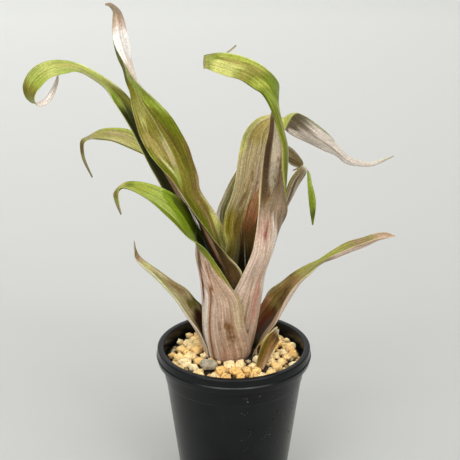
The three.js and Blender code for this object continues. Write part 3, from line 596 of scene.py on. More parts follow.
            ("groove", 0.5, (9, 0.0, 0.08), (12.5, 0.02, 0.1)),
            band("pale_yellow", 0.5, 9, 12, -0.3, -0.25),
            band("grey_olive", 0.7, 12.7, 13.4),
            band("dark_brown", 0.85, 13.9, 15.3),
            band("tip_grey", 0.8, 15.7, TIP),
        ]),
        "under": ("pink", [band("dark_brown", 0.6, 13.5, TIP)]),
        "spots": [],
    },
    "leaf_right_tall": {
        "upper": ("vivid_dark", [
            band("dark_olive", 0.5, 7.4, 9.4, -0.95, -0.6),
            ("olive_light", 0.8, (8.4, -0.65, -0.3), (10, -0.7, -0.2), (11.6, -0.62, 0)),
            ("pale_tan", 0.7, (9.8, -0.45, RIGHT), (11.4, -0.3, RIGHT)),
            ("yellow_green", 0.5, (8, LEFT, -0.93), (12.4, LEFT, -0.94)),
            ("light_green", 0.7, (11.6, -0.45, 0.5), (12.4, -0.4, 0.5)),
            ("vivid_light", 0.8, (12.2, -0.85, -0.3), (13.4, -0.85, -0.2)),
            ("vivid", 0.8, (12.7, -0.15, 0.7), (14.4, 0.2, 0.88)),
            ("yellow_green", 0.8, (13.6, LEFT, -0.1), (14.4, LEFT, 0.1)),
            band("tan", 0.7, 14.7, 15.3),
            ("yellow_green", 0.6, (14.6, 0.5, RIGHT), (16, 0.6, RIGHT)),
            band("pale_yellow", 0.9, 15.6, 17.4, LEFT, 0.2),
            ("tan", 0.7, (15.6, 0.1, 0.55), (17, 0.15, 0.6)),
            band("yellow_green", 0.7, 15.6, 17.3, 0.55, RIGHT),
            band("olive_light", 0.9, 17.8, TIP),
            band("vivid", 0.4, 17.6, 19, 0.2, 0.7),
            ("deep_green", 0.75, (11.5, LEFT, -0.94), (14.6, LEFT, -0.93)),
            band("pale_green", 0.7, 12.6, 17.5, 0.9, RIGHT),
            ("deep_green", 0.5, (17, 0.9, RIGHT), (19, 0.86, RIGHT)),
            ("olive", 0.5, (13, -0.05, 0), (17, 0, 0.05)),
            ("pale_yellow", 0.5, (12.4, -0.5, -0.45), (16, -0.45, -0.4)),
        ]),
        "under": ("pink", [
            ("cream_pink", 0.85, (2.8, LEFT, -0.1), (5, LEFT, 0.15), (6, -0.15, 0.2)),
            band("pink_light", 0.9, 3.4, 6, 0, RIGHT),
            band("pink_light", 0.8, 1.6, 2.8, -0.4, 0),
            ("rose", 0.75, (2.2, 0.02, 0.2), (3.2, 0.02, 0.28), (4, 0.1, 0.34)),
            ("rose", 0.4, (5.4, 0.5, 0.85), (6.2, 0.45, 0.85)),
            band("pink_brown", 0.5, 6, 7, 0.3, RIGHT),
            # Painted shade: the grey-brown strokes of rows 5 to 9, where the under face lies in shade below
            # the arch
            ("grey_brown", 0.5, (5.2, LEFT, -0.5), (6, LEFT, -0.35), (7, LEFT, -0.2)),
            band("grey_brown", 0.5, 6.9, 9.2, 0, RIGHT),
            ("grey_brown", 0.7, (6.4, LEFT, -0.15), (7.5, LEFT, 0.3), (8.6, LEFT, 0.5), (9.2, LEFT, 0.3)),
            band("grey_brown", 0.5, 7.6, 9, 0.1, RIGHT),
            ("cream_pink", 0.6, (5.2, -0.12, 0.1), (6.2, -0.12, 0.06), (7, -0.02, 0.1)),
            ("grey_brown", 0.7, (6.9, 0.25, RIGHT), (7.8, 0.1, RIGHT)),
            band("brown", 0.6, 7.6, 8.6, 0.4, 0.76),
            band("dark_brown", 0.35, 6.9, 8.6),
            ("grey_cream", 0.9, (8.2, 0.4, 0.7), (9, 0.4, 0.72), (9.6, 0.4, 0.74)),
            ("dull_cream", 0.9, (9.5, 0.42, 0.74), (10.4, 0.4, 0.74), (12, 0.36, 0.72)),
            ("dark_brown", 0.95, (7.5, 0.7, 0.98), (8.1, 0.5, 0.98), (8.8, 0.74, 0.98), (12, 0.74, 0.98)),
            ("brown_black", 0.9, (7.9, 0.74, 0.94), (9.2, 0.78, 0.95), (10.6, 0.78, 0.94)),
            ("dark_brown", 0.85, (8.5, 0.2, 0.32), (9.4, 0.28, 0.38)),
            ("rust", 0.8, (9, 0.22, 0.3), (9.6, 0.26, 0.34)),
            ("bright_red", 0.9, (5.75, 0.52, 0.68), (6.1, 0.44, 0.58), (6.4, 0.28, 0.42)),
            ("red", 0.7, (5.85, 0.55, 0.62), (6.2, 0.44, 0.52)),
            ("brown", 0.75, (1.2, 0.3, 0.38), (2.1, 0.33, 0.4), (3.1, 0.37, 0.43), (4, 0.5, 0.56)),
            band("pink_brown", 0.5, 3.95, 4.25, 0.1, 0.85),
            ("brown", 0.5, (4.4, 0.36, 0.4), (7, 0.55, 0.6)),
            band("pink_light", 0.5, 6.2, 7.6, 0.96, RIGHT),
            ("pale_tan", 0.7, (7.2, 0.96, RIGHT), (12, 0.97, RIGHT)),
            band("olive", 0.6, 15, TIP),
            band("tip_grey", 0.8, 21, TIP),
        ]),
        "spots": [("under", "dark_brown", 8.2, 9.6, 0.2, 0.5, 14), ("under", "brown", 7.2, 8.8, 0.0, 0.7, 16),
                  ("under", "rust", 0.8, 1.8, 0.1, 0.36, 8), ("under", "red", 0.9, 1.7, 0.14, 0.3, 4),
                  ("under", "rose", 2.2, 3.8, -0.1, 0.3, 12)],
    },
    "leaf_back_tall": {
        "upper": ("tan_pink", [
            ("olive_gold", 1, (ROOT, LEFT, -0.3), (6.2, LEFT, -0.4)),
            ("tan", 0.6, (2.8, LEFT, -0.5), (4.6, LEFT, -0.55)),
            ("pale_yellow", 0.6, (3.4, -0.98, -0.86), (6, -0.98, -0.88)),
            ("dark_olive", 0.5, (3.4, -0.74, -0.66), (6.5, -0.76, -0.68)),
            ("brown_gold", 0.95, (4.2, -0.5, 0), (5.4, -0.45, 0.05), (6.3, -0.3, 0)),
            ("deep_green", 0.6, (3.2, -0.34, -0.1), (4.4, -0.3, -0.1)),
            ("night", 0.97, (ROOT, -0.3, RIGHT), (3.6, -0.1, RIGHT), (4.3, 0, RIGHT)),
            ("dark_brown", 1, (3.9, -0.1, RIGHT), (5.4, 0, RIGHT)),
            ("brown_black", 0.7, (3.9, -0.1, 0.1), (4.8, -0.05, 0.15)),
            ("rust", 0.95, (4.9, 0.02, 0.72), (5.6, 0.05, 0.75), (6.3, 0.1, 0.8)),
            ("rust_light", 0.85, (5.6, 0.05, 0.7), (6.4, 0.04, 0.7), (7.6, 0.02, 0.6)),
            band("rose", 0.5, 7.2, 9, 0.1, RIGHT),
            ("dark_brown", 0.85, (4.6, 0.5, 0.96), (5.3, 0.6, 0.96), (6.5, 0.8, 0.96)),
            ("brown", 0.6, (6.2, -0.5, -0.2), (7.4, -0.4, -0.1)),
            ("pink", 0.85, (7.4, 0.05, RIGHT), (9.6, 0.0, RIGHT)),
            ("pale_tan", 0.8, (7, LEFT, -0.78), (9.4, LEFT, -0.72)),
            ("pale_yellow", 0.8, (9.5, LEFT, -0.74), (12.4, LEFT, -0.78)),
            band("gold", 0.85, 10.2, 12.6, -0.7, RIGHT),
            band("yellow_green", 0.8, 12.6, TIP),
            ("pale_tan", 0.6, (4.4, -0.02, 0.01), (6.4, -0.07, -0.04), (7.4, -0.09, -0.06)),
            # Painted highlight: a short white glint
            ("white", 0.9, (3.3, 0.21, 0.24), (3.8, 0.23, 0.26)),
            ("pale_tan", 0.5, (4.6, -0.52, -0.48), (7, -0.6, -0.56), (10, -0.6, -0.56)),
            ("dark_red_brown", 0.6, (5.4, 0.14, 0.2), (7.6, 0.05, 0.1)),
            ("rust", 0.5, (6.8, -0.32, -0.22), (8.6, -0.25, -0.15)),
            ("brown", 0.7, (7, 0.2, 0.25), (9.4, 0.0, 0.05), (12, -0.22, -0.16)),
            ("cream", 0.5, (8, 0.1, 0.13), (10, -0.08, -0.05), (12, -0.3, -0.27)),
            ("dark_olive", 0.5, (8.6, -0.52, -0.47), (12, -0.5, -0.45)),
        ]),
        "under": ("cream_pink", [
            band("pink", 0.8, ROOT, 12),
            # Painted shade: grey strokes where the under face turns down at the arch
            ("grey_brown", 0.9, (12.6, LEFT, RIGHT), (14, LEFT, 0.3), (14.5, -0.7, RIGHT),
             (15.2, -0.35, RIGHT)),
            ("grey_olive", 0.85, (14.3, -0.5, RIGHT), (15.6, -0.1, RIGHT)),
            ("grey_green", 0.8, (15.6, 0.8, RIGHT), (17.4, 0.92, RIGHT)),
            ("pink_tan", 0.5, (15.6, -0.1, 0.1), (18.5, -0.05, 0.08)),
            ("white", 0.4, (16.8, -0.7, -0.2), (20, -0.6, -0.2)),
            band("tip_grey", 0.6, 21.4, TIP),
        ]),
        "spots": [("upper", "brown", 5, 8.4, -0.5, 0.5, 26), ("upper", "pale_tan", 6, 9.4, -0.6, 0.5, 18)],
    },
    "leaf_back": {
        "upper": ("moss", [
            ("white", 0.9, (3.6, LEFT, -0.76), (6, LEFT, -0.84)),
            band("pale_tan", 0.7, 5, 7.4, LEFT, -0.8),
            ("dark_olive", 0.6, (4, -0.6, -0.5), (6.6, -0.6, -0.48)),
            band("grey_green", 0.6, 4.8, 6.8, -0.4, 0.2),
            band("dark_brown", 0.8, 9, 13.3),
            band("brown_black", 0.7, 9, 12.8, 0.1, 0.7),
            band("grey_brown", 0.4, 9.6, 11.6, -0.5, 0.1),
            band("grey_olive", 0.6, 9, 12.6, LEFT, -0.85),
            band("grey_olive", 0.6, 9, 12.6, 0.85, RIGHT),
            band("pink_tan", 0.85, 13.5, TIP),
            band("grey_olive", 0.5, 9, 12.6, 0.3, 0.35),
            band("brown_black", 0.6, 9, 13, 0.02, 0.08),
            band("brown_black", 0.6, 9, 13, -0.6, -0.54),
        ]),
        "under": ("pink", [band("dark_brown", 0.6, 8.6, 13.4)]),
        "spots": [],
    },
    "leaf_right_folded": {
        "upper": ("olive", [
            band("vivid_light", 1, 10, TIP),
            band("vivid", 0.7, 12.4, TIP, -0.4, RIGHT),
            ("pale_green", 0.7, (10.4, LEFT, -0.3), (12.4, LEFT, -0.4)),
            ("light_green", 0.9, (11.4, LEFT, -0.5), (13.4, LEFT, -0.6)),
            band("deep_green", 0.9, 14, 14.8),
            ("vivid_dark", 0.7, (13, 0.3, RIGHT), (13.8, 0.2, RIGHT)),
            band("grey_green", 0.8, 15.1, TIP),
        ]),
        "under": ("grey_cream", [
            band("pink", 0.8, ROOT, 5.5),
            ("dark_brown", 0.85, (6.4, 0.05, 0.42), (8, 0.05, 0.4), (9.4, -0.1, 0.25)),
            band("grey_brown", 0.9, 8.4, 9.6),
            band("dark_brown", 0.4, 7, 9.6, 0, RIGHT),
            band("olive_gold", 0.7, 6.8, 9.4, 0.8, RIGHT),
            ("cream", 0.7, (6.5, -0.5, -0.42), (9, -0.5, -0.44)),
            ("cream", 0.7, (6.8, 0.5, 0.56), (9, 0.46, 0.52)),
            ("dark_brown", 0.5, (6.4, -0.8, -0.72), (9, -0.8, -0.7)),
            band("cream", 0.8, 9.8, 10.4),
            band("vivid_light", 0.8, 10.9, TIP),
        ]),
        "spots": [],
    },
    "leaf_low_right": {
        "upper": ("olive_light", [
            ("night", 0.97, (ROOT, LEFT, RIGHT), (1.6, LEFT, RIGHT), (2.4, -0.3, RIGHT)),
            ("dark_red_brown", 0.95, (2.2, -0.6, 0.5), (3, -0.45, 0.35), (4.4, -0.42, 0.05)),
            band("rust", 0.95, 2.2, 4.4, LEFT, -0.45),
            band("groove", 0.95, 2.8, 4.8, LEFT, -0.72),
            ("red_brown", 0.8, (2.6, -0.5, -0.1), (3.8, -0.45, -0.1)),
            ("brown", 0.85, (4.5, LEFT, 0.2), (7.2, LEFT, 0)),
            ("dark_brown", 0.8, (4.4, -0.45, 0.05), (5.4, -0.45, -0.1), (6.2, -0.7, -0.35)),
            ("red", 0.6, (2.8, -0.5, -0.36), (4, -0.5, -0.38)),
            ("pink_tan", 0.95, (2.8, 0.42, RIGHT), (4.2, 0.04, RIGHT), (5.4, 0.1, RIGHT), (6.2, 0.2, RIGHT)),
            band("pale_tan", 0.5, 4.6, 6.4, LEFT, -0.86),
            ("groove", 0.5, (6.4, -0.6, -0.2), (7.4, -0.5, -0.2)),
            ("dark_brown", 0.7, (5, 0.08, 0.14), (9.5, 0.1, 0.16)),
            band("vivid_light", 0.3, 8.6, 10.4, LEFT, 0),
            band("dark_olive", 0.6, 7.8, 10, 0, 0.5),
            band("pink_brown", 0.7, 11.4, 12.4),
            band("pink", 0.9, 12.8, TIP),
        ]),
        "under": ("pink_light", [
            ("grey_brown", 0.7, (8.4, 0.6, RIGHT), (10.2, 0.5, RIGHT)),
            band("pink_tan", 0.5, 11.6, 14, 0.6, RIGHT),
            band("tip_grey", 0.5, 15, TIP),
        ]),
        "spots": [("upper", "brown", 5.4, 8, -0.8, 0.1, 12)],
    },
    "leaf_low_left": {
        "upper": ("pale_tan", [
            band("night", 0.8, ROOT, 1.6),
            ("dark_red_brown", 1, (1.4, 0.1, RIGHT), (3.3, 0.15, RIGHT)),
            band("brown", 0.6, 2, 3.2, LEFT, 0.2),
            ("dark_olive", 0.9, (3.4, 0.4, RIGHT), (4.4, 0.42, RIGHT)),
            band("grey_green", 0.5, 3.8, 5.4, LEFT, 0.1),
            ("brown", 0.75, (4.8, 0.5, 0.88), (6.3, 0.5, 0.9)),
            band("olive_light", 0.7, 5.6, 7.3, LEFT, 0.5),
            band("pale_yellow", 0.7, 7.6, 8.3),
            band("pink_tan", 0.85, 8.7, 9.4),
            band("tip_grey", 0.9, 9.7, TIP),
            ("olive", 0.6, (3.6, 0.22, 0.28), (7, 0.3, 0.35)),
            ("pale_green", 0.6, (4, 0.08, 0.13), (8, 0.1, 0.15)),
        ]),
        "under": ("cream_pink", [
            band("pink_tan", 0.7, 1, 3.4),
            band("pale_green", 0.5, 4.6, 8.4),
            band("tip_grey", 0.8, 9.8, TIP),
        ]),
        "spots": [],
    },
    "leaf_stub": {
        "upper": ("stub_brown", [
            band("brown_gold", 0.4, 0, 2, -0.8, 0.3),
            band("olive_gold", 0.7, 1.4, 3.2, LEFT, -0.8),
            ("dark_brown", 0.9, (2.5, 0.2, RIGHT), (3.6, 0.1, RIGHT)),
            ("pink_brown", 0.8, (ROOT, 0.55, RIGHT), (1.8, 0.7, RIGHT)),
            ("dark_olive", 0.7, (0.5, -0.3, 0.1), (2.4, -0.5, 0)),
            band("dull_cream", 0.9, 3.7, TIP),
            ("dark_brown", 0.6, (0.3, 0.3, 0.38), (3, 0.05, 0.12)),
        ]),
        "under": ("olive_gold", [
            band("pale_tan", 0.6, 3.2, TIP),
        ]),
        "spots": [],
    },
}

# Soft edges of the strokes in rows and sides, the pale margin, and the seeded spots with
# the reach in spot sizes at which a spot has faded out
ROW_SOFT = 0.9
SIDE_SOFT = (0.03, 0.09)
SIDE_SOFT_SHARE = 0.6
MARGIN_COLOUR = "pale_green"
MARGIN_SHARE = 0.35
SPOT_ROWS = (0.04, 0.12)
SPOT_SIDES = (0.02, 0.05)
SPOT_STRENGTH = (0.5, 1.0)
SPOT_REACH = 1.6

# Noise that bends the strokes and shades a face: strength, then cells a side and a row
SIDE_BEND, SIDE_BEND_CELLS = 0.03, (2.5, 0.7)
ROW_BEND, ROW_BEND_CELLS = 0.4, (7, 0.4)
STREAKS, STREAK_CELLS = 0.13, (11, 0.3)
FINE_STREAKS, FINE_STREAK_CELLS = 0.6, (23, 0.5)
CLOUDS, CLOUD_CELLS = 0.08, (2.2, 0.9)
SHADE_LIMITS = (0.5, 1.5)
VEIN_LIMITS = (0.4, 1.7)

# Seeded veins drawn along every face: how many, half width, length in rows, strength,
# and the reach in half widths at which a vein has faded out
VEIN_COUNT = 46
VEIN_HALF = (0.010, 0.028)
VEIN_LENGTH = (2, 9)
VEIN_STRENGTH = (0.06, 0.28)
VEIN_REACH = 1.5

# The torn top of the broken leaf: how far each place across stands below its end
TORN_EDGE = ((-1, 3), (-0.7, 1), (-0.45, 2.4), (-0.2, 0), (0.1, 2), (0.4, 1), (0.65, 3.4), (1, 6))

# Pumice as sRGB numbers: the grains, the shade between them and the fill below.
# The shade starts this far above the fill, deepens over this height and is this strong.
GRAIN_COLOURS = ((250, 231, 182), (245, 213, 148), (238, 198, 124), (232, 188, 112), (248, 222, 164))
GRAIN_SHADE = (72, 44, 20)
GRAIN_SHADE_LIGHT = 0.6
SHADE_START, SHADE_DEPTH, SHADE_STRENGTH = 2.6, 3, 0.9
# Painted shade in the hollows of each grain's relief
GRAIN_RELIEF_SHADE = 0.12
FILL_COLOUR = (36, 22, 10)


# Cells of the noise before it repeats, and where flat noise cuts through them
NOISE_CELLS = 32
NOISE_PLACE = (0.37, 0.61, 0.5)

# The CAD's rule for repeatable numbers
RANDOM_FACTOR = 1664525
RANDOM_STEP = 1013904223
RANDOM_RANGE = 2 ** 32


def linear(colour):
    """Linear light from sRGB numbers of 0 to 255"""
    value = np.array(colour, float) / 255
    return np.where(value <= 0.04045, value / 12.92, ((value + 0.055) / 1.055) ** 2.4)


def smooth_step(value):
    """Smooth rise from 0 to 1"""
    value = np.clip(value, 0, 1)
    return value * value * (3 - 2 * value)


def soft_range(value, low, high, soft):
    """1 between low and high, falling softly to 0 outside them"""
    return smooth_step((value - low) / soft + 0.5) * smooth_step((high - value) / soft + 0.5)


def lattice_noise(points, seed):
    """Smooth value noise from -1 to 1 at points given as (..., 3), one unit a cell"""
    table = np.random.default_rng(seed).uniform(-1, 1, (NOISE_CELLS,) * 3)
    cell = np.floor(points).astype(int)
    share = smooth_step(points - cell)
    total = 0.0
    for corner in range(8):
        step = np.array([corner & 1, corner >> 1 & 1, corner >> 2 & 1])
        weight = np.where(step == 1, share, 1 - share).prod(axis=-1)
        x, y, z = np.moveaxis((cell + step) % NOISE_CELLS, -1, 0)
        total = total + weight * table[x, y, z]
    return total


def flat_noise(x, y, seed):
    """The same noise over a plane"""
    x, y = np.broadcast_arrays(x, y)
    plane = np.stack([x, y, np.zeros_like(x)], axis=-1)
    return lattice_noise(plane + NOISE_PLACE, seed)


def unit(vectors):
    """Vectors of length 1 with the same directions"""
    length = np.linalg.norm(vectors, axis=-1, keepdims=True)
    return vectors / np.maximum(length, 1e-9)


def new_mesh(name, vertices, faces, materials):
    """Mesh object from vertices in millimetres"""
    mesh = bpy.data.meshes.new(name)
    mesh.from_pydata((np.asarray(vertices) * MM).tolist(), [], faces)
    mesh.update()
    piece = bpy.data.objects.new(name, mesh)
    bpy.context.collection.objects.link(piece)
    for material in materials:
        mesh.materials.append(material)
    mesh.polygons.foreach_set("use_smooth", [True] * len(mesh.polygons))
    return piece


def add_tint(piece, colours):
    """Colour of each vertex, read by the material as tint"""
    layer = piece.data.color_attributes.new("tint", "FLOAT_COLOR", "POINT")
    filled = np.concatenate([colours, np.ones((len(colours), 1))], axis=1)
    layer.data.foreach_set("color", filled.ravel())


def add_uv(piece, places):
    """UV map from one place for each vertex"""
    mesh = piece.data
    corner = np.zeros(len(mesh.loops), int)
    mesh.loops.foreach_get("vertex_index", corner)
    layer = mesh.uv_layers.new(name="UVMap")
    layer.data.foreach_set("uv", np.asarray(places)[corner].ravel())


def keep(piece, node):
    """The piece rides on the one body and stands for a CAD node"""
    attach(piece, "root")
    if node:
        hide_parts(node)


# Materials, with their colours in linear light
LEAF_UPPER_SCURF = (0.55, 0.56, 0.42, 1)
LEAF_UNDER_SCURF = (0.72, 0.66, 0.60, 1)
PORE_BROWN = (0.13, 0.065, 0.025, 1)
PEBBLE_DARK, PEBBLE_PALE = (0.24, 0.21, 0.13, 1), (0.48, 0.43, 0.32, 1)
STEM_DARK, STEM_PALE = (0.10, 0.06, 0.025, 1), (0.30, 0.22, 0.12, 1)
PLASTIC_CLEAN, PLASTIC_SCUFFED = (0.002, 0.0025, 0.003, 1), (0.006, 0.007, 0.0085, 1)
WATER_DARK, WATER_PALE = (0.02, 0.021, 0.023, 1), (0.12, 0.13, 0.14, 1)
# Floor colours, with painted light: the floor is made lighter towards the back and the left
FLOOR_NEAR, FLOOR_FAR = (0.44, 0.445, 0.425, 1), (0.72, 0.725, 0.70, 1)
FLOOR_DEPTH = (0.0, 1.3)
FLOOR_SIDES = (-0.4, 0.4)
FLOOR_LEFT, FLOOR_RIGHT = 1.02, 0.88


class Nodes:
    """Short way to build a material's node tree"""

    def __init__(self, name):
        self.material = bpy.data.materials.new(name)
        self.material.use_nodes = True
        self.tree = self.material.node_tree
        self.shader = self.tree.nodes["Principled BSDF"]

    def add(self, kind, **settings):
        node = self.tree.nodes.new(kind)
        for key, value in settings.items():
            setattr(node, key, value)
        return node

    def link(self, source, target):
        self.tree.links.new(source, target)

    def coordinates(self, output, scale=(1.0, 1.0, 1.0)):
        """Object or UV coordinates, scaled"""
        place = self.add("ShaderNodeTexCoord")
        mapping = self.add("ShaderNodeMapping")
        mapping.inputs["Scale"].default_value = scale
        self.link(place.outputs[output], mapping.inputs["Vector"])
        return mapping.outputs["Vector"]

    def noise(self, vector, scale, detail=2.0, roughness=0.5):
        node = self.add("ShaderNodeTexNoise")
        node.inputs["Scale"].default_value = scale
        node.inputs["Detail"].default_value = detail
        node.inputs["Roughness"].default_value = roughness
        self.link(vector, node.inputs["Vector"])
        return node.outputs["Fac"]

    def voronoi(self, vector, scale):
        node = self.add("ShaderNodeTexVoronoi")
        node.inputs["Scale"].default_value = scale
        self.link(vector, node.inputs["Vector"])
        return node.outputs["Distance"]

    def spread(self, value, low, high, to_low=0.0, to_high=1.0):
        """Carry a range of the value over to another range"""
        node = self.add("ShaderNodeMapRange")
        node.inputs["From Min"].default_value = low
        node.inputs["From Max"].default_value = high
        node.inputs["To Min"].default_value = to_low
        node.inputs["To Max"].default_value = to_high
        self.link(value, node.inputs["Value"])
        return node.outputs["Result"]

    def mix(self, factor, first, second, blend="MIX"):
        """Mix two colours; each of the three may be a socket or a plain value"""
        node = self.add("ShaderNodeMix", data_type="RGBA", blend_type=blend)
        for value, socket in ((factor, node.inputs["Factor"]), (first, node.inputs["A"]),
                              (second, node.inputs["B"])):
            if isinstance(value, bpy.types.NodeSocket):
                self.link(value, socket)
            else:
                socket.default_value = value
        return node.outputs["Result"]

    def shade(self, colour, value, dark, bright, low=0.34, high=0.66):
        """Darken and brighten a colour by a noise"""
        return self.mix(1.0, colour, self.spread(value, low, high, dark, bright), "MULTIPLY")

    def tint(self):
        """The painted colour of the vertices"""
        node = self.add("ShaderNodeVertexColor")
        node.layer_name = "tint"
        return node.outputs["Color"]

    def bump(self, height, strength, distance, normal=None):
        node = self.add("ShaderNodeBump")
        node.inputs["Strength"].default_value = strength
        node.inputs["Distance"].default_value = distance
        self.link(height, node.inputs["Height"])
        if normal:
            self.link(normal, node.inputs["Normal"])
        return node.outputs["Normal"]

    def finish(self, colour, normal=None, roughness=None):
        """Link what is left to the shader and hand over the material"""
        self.link(colour, self.shader.inputs["Base Color"])
        if normal:
            self.link(normal, self.shader.inputs["Normal"])
        if roughness is not None:
            self.link(roughness, self.shader.inputs["Roughness"])
        return self.material


def leaf_material(name, low_rough, high_rough, speck, speck_colour):
    """Leaf skin: painted tint, fine lines along the leaf, a mottle and pale scurf"""
    nodes = Nodes(name)
    along = nodes.coordinates("UV", (9.0, 0.30, 1.0))
    lines = nodes.noise(along, 1.0, 4.0, 0.6)
    fine_along = nodes.coordinates("UV", (26.0, 1.1, 1.0))
    fine = nodes.noise(fine_along, 1.0, 2.0)
    everywhere = nodes.coordinates("Object")
    scurf = nodes.noise(everywhere, 1500.0, 2.0, 0.7)
    colour = nodes.shade(nodes.tint(), lines, 0.68, 1.28)
    colour = nodes.shade(colour, fine, 0.82, 1.16)
    mottle = nodes.noise(everywhere, 800.0, 3.0, 0.6)
    colour = nodes.shade(colour, mottle, 0.82, 1.18)
    colour = nodes.mix(nodes.spread(scurf, 0.56, 0.8, 0.0, speck), colour, speck_colour)
    normal = nodes.bump(lines, 0.5, 0.0004)
    normal = nodes.bump(fine, 0.35, 0.0002, normal)
    roughness = nodes.spread(scurf, 0.3, 0.7, low_rough, high_rough)
    nodes.shader.inputs["Specular IOR Level"].default_value = 0.18
    return nodes.finish(colour, normal, roughness)


def pumice_material():
    """Pumice: tinted grains with pores and a rough skin"""
    nodes = Nodes("pumice_grains")
    place = nodes.coordinates("Object")
    cloud = nodes.noise(place, 420.0, 4.0, 0.6)
    grit = nodes.noise(place, 1800.0, 3.0, 0.7)
    pores = nodes.voronoi(place, 480.0)
    colour = nodes.shade(nodes.tint(), cloud, 0.72, 1.2)
    colour = nodes.shade(colour, grit, 0.82, 1.14)
    colour = nodes.mix(nodes.spread(pores, 0.14, 0.26, 0.9, 0.0), colour, PORE_BROWN)
    normal = nodes.bump(pores, 0.5, 0.0006)
    normal = nodes.bump(grit, 0.6, 0.0004, normal)
    nodes.shader.inputs["Roughness"].default_value = 0.92
    return nodes.finish(colour, normal)


def pebble_material():
    """Grey-green pebble with a fine grain"""
    nodes = Nodes("grey_pebble_stone")
    place = nodes.coordinates("Object")
    cloud = nodes.noise(place, 350.0, 4.0, 0.6)
    grit = nodes.noise(place, 2200.0, 2.0, 0.6)
    colour = nodes.mix(nodes.spread(cloud, 0.3, 0.7), PEBBLE_DARK, PEBBLE_PALE)
    colour = nodes.shade(colour, grit, 0.75, 1.15, 0.3, 0.7)
    nodes.shader.inputs["Roughness"].default_value = 0.85
    return nodes.finish(colour, nodes.bump(grit, 0.4, 0.0003))


def stem_material():
    """Fibrous brown stem between the leaf bases"""
    nodes = Nodes("stem_fibre")
    along = nodes.coordinates("Object", (900.0, 900.0, 60.0))
    fibre = nodes.noise(along, 1.0, 3.0)
    colour = nodes.mix(nodes.spread(fibre, 0.3, 0.7), STEM_DARK, STEM_PALE)
    nodes.shader.inputs["Roughness"].default_value = 0.8
    return nodes.finish(colour, nodes.bump(fibre, 0.5, 0.0004))


def pot_material():
    """Charcoal moulded plastic, satin, with a fine skin and faint scuffs"""
    nodes = Nodes("charcoal_plastic")
    place = nodes.coordinates("Object")
    skin = nodes.noise(place, 1600.0, 2.0)
    scuff = nodes.noise(place, 60.0, 5.0, 0.65)
    colour = nodes.mix(nodes.spread(scuff, 0.35, 0.75), PLASTIC_CLEAN, PLASTIC_SCUFFED)
    normal = nodes.bump(skin, 0.25, 0.0001)
    roughness = nodes.spread(scuff, 0.3, 0.7, 0.20, 0.28)
    nodes.shader.inputs["Specular IOR Level"].default_value = 0.22
    return nodes.finish(colour, normal, roughness)


def water_material():
    """Small drops of water on dark plastic"""
    nodes = Nodes("water_drop")
    place = nodes.coordinates("Object")
    cloud = nodes.noise(place, 900.0, 1.0)
    colour = nodes.mix(nodes.spread(cloud, 0.3, 0.7), WATER_DARK, WATER_PALE)
    nodes.shader.inputs["Roughness"].default_value = 0.04
    nodes.shader.inputs["IOR"].default_value = 1.33
    return nodes.finish(colour)


def stage_material():
    """Plain pale floor, with painted light: a little lighter towards the back and the left"""
    nodes = Nodes("pale_floor")
    place = nodes.add("ShaderNodeTexCoord")
    split = nodes.add("ShaderNodeSeparateXYZ")
    nodes.link(place.outputs["Object"], split.inputs["Vector"])
    colour = nodes.mix(nodes.spread(split.outputs["Y"], *FLOOR_DEPTH), FLOOR_NEAR, FLOOR_FAR)
    colour = nodes.shade(colour, split.outputs["X"], FLOOR_LEFT, FLOOR_RIGHT, *FLOOR_SIDES)
    nodes.shader.inputs["Roughness"].default_value = 0.9
    return nodes.finish(colour)


# Leaves

def base_section(row, sides):
    """Points across a clasping leaf base"""
    height, layer, azimuth, half_wrap = row
    radius = np.interp(height, CROWN_HEIGHTS, CROWN_RADII) - LAYER_FIRST - LAYER_PITCH * layer
    angle = np.radians(azimuth - half_wrap * sides)
    middle_x = CROWN_X + CROWN_LEAN * (height - CROWN_LEAN_FROM)
    return np.stack([middle_x + radius * np.cos(angle), radius * np.sin(angle),
                     np.full_like(angle, height)], axis=1)


def blade_section(row, along, sides):
    """Points across a channelled blade: a parabola through margins and middle"""
    left, right, depth = np.array(row[0:3], float), np.array(row[3:6], float), row[6]
    shift = row[7] if len(row) > 7 else 0
    width = right - left
    face = unit(np.cross(width, along))
    chord = (left + right) / 2
    middle = chord + width * shift - face * depth
    side = sides[:, None]
    return middle + width * side / 2 + (chord - middle) * side * side


def leaf_sections(leaf, sides):
    """All the drawn sections of a leaf, base rows first"""
    ends = np.array([-1.0, 0.0, 1.0])
    centres = [base_section(row, ends).mean(axis=0) for row in leaf["base"]]
    centres += [(np.array(row[0:3], float) + np.array(row[3:6], float)) / 2 for row in leaf["blade"]]
    sections = [base_section(row, sides) for row in leaf["base"]]
    for k, row in enumerate(leaf["blade"]):
        i = len(leaf["base"]) + k
        along = unit(centres[min(i + 1, len(centres) - 1)] - centres[max(i - 1, 0)])
        sections.append(blade_section(row, along, sides))
    return np.array(sections)


def smooth_lines(points, steps):
    """Catmull-Rom between the drawn sections"""
    padded = np.concatenate([[2 * points[0] - points[1]], points, [2 * points[-1] - points[-2]]])
    rows = []
    for i in range(1, len(points)):
        for k in range(steps):
            f = k / steps
            weights = (-f + 2 * f * f - f ** 3, 2 - 5 * f * f + 3 * f ** 3,
                       f + 4 * f * f - 3 * f ** 3, -f * f + f ** 3)
            rows.append(sum(w * padded[i - 1 + n] for n, w in enumerate(weights)) / 2)
    rows.append(points[-1])
    return np.array(rows)


def grid_directions(grid):
    """Direction across, direction along and upper-face normal at each grid point"""
    over = np.gradient(grid, axis=1)
    along = np.gradient(grid, axis=0)
    return unit(over), unit(along), unit(np.cross(over, along))


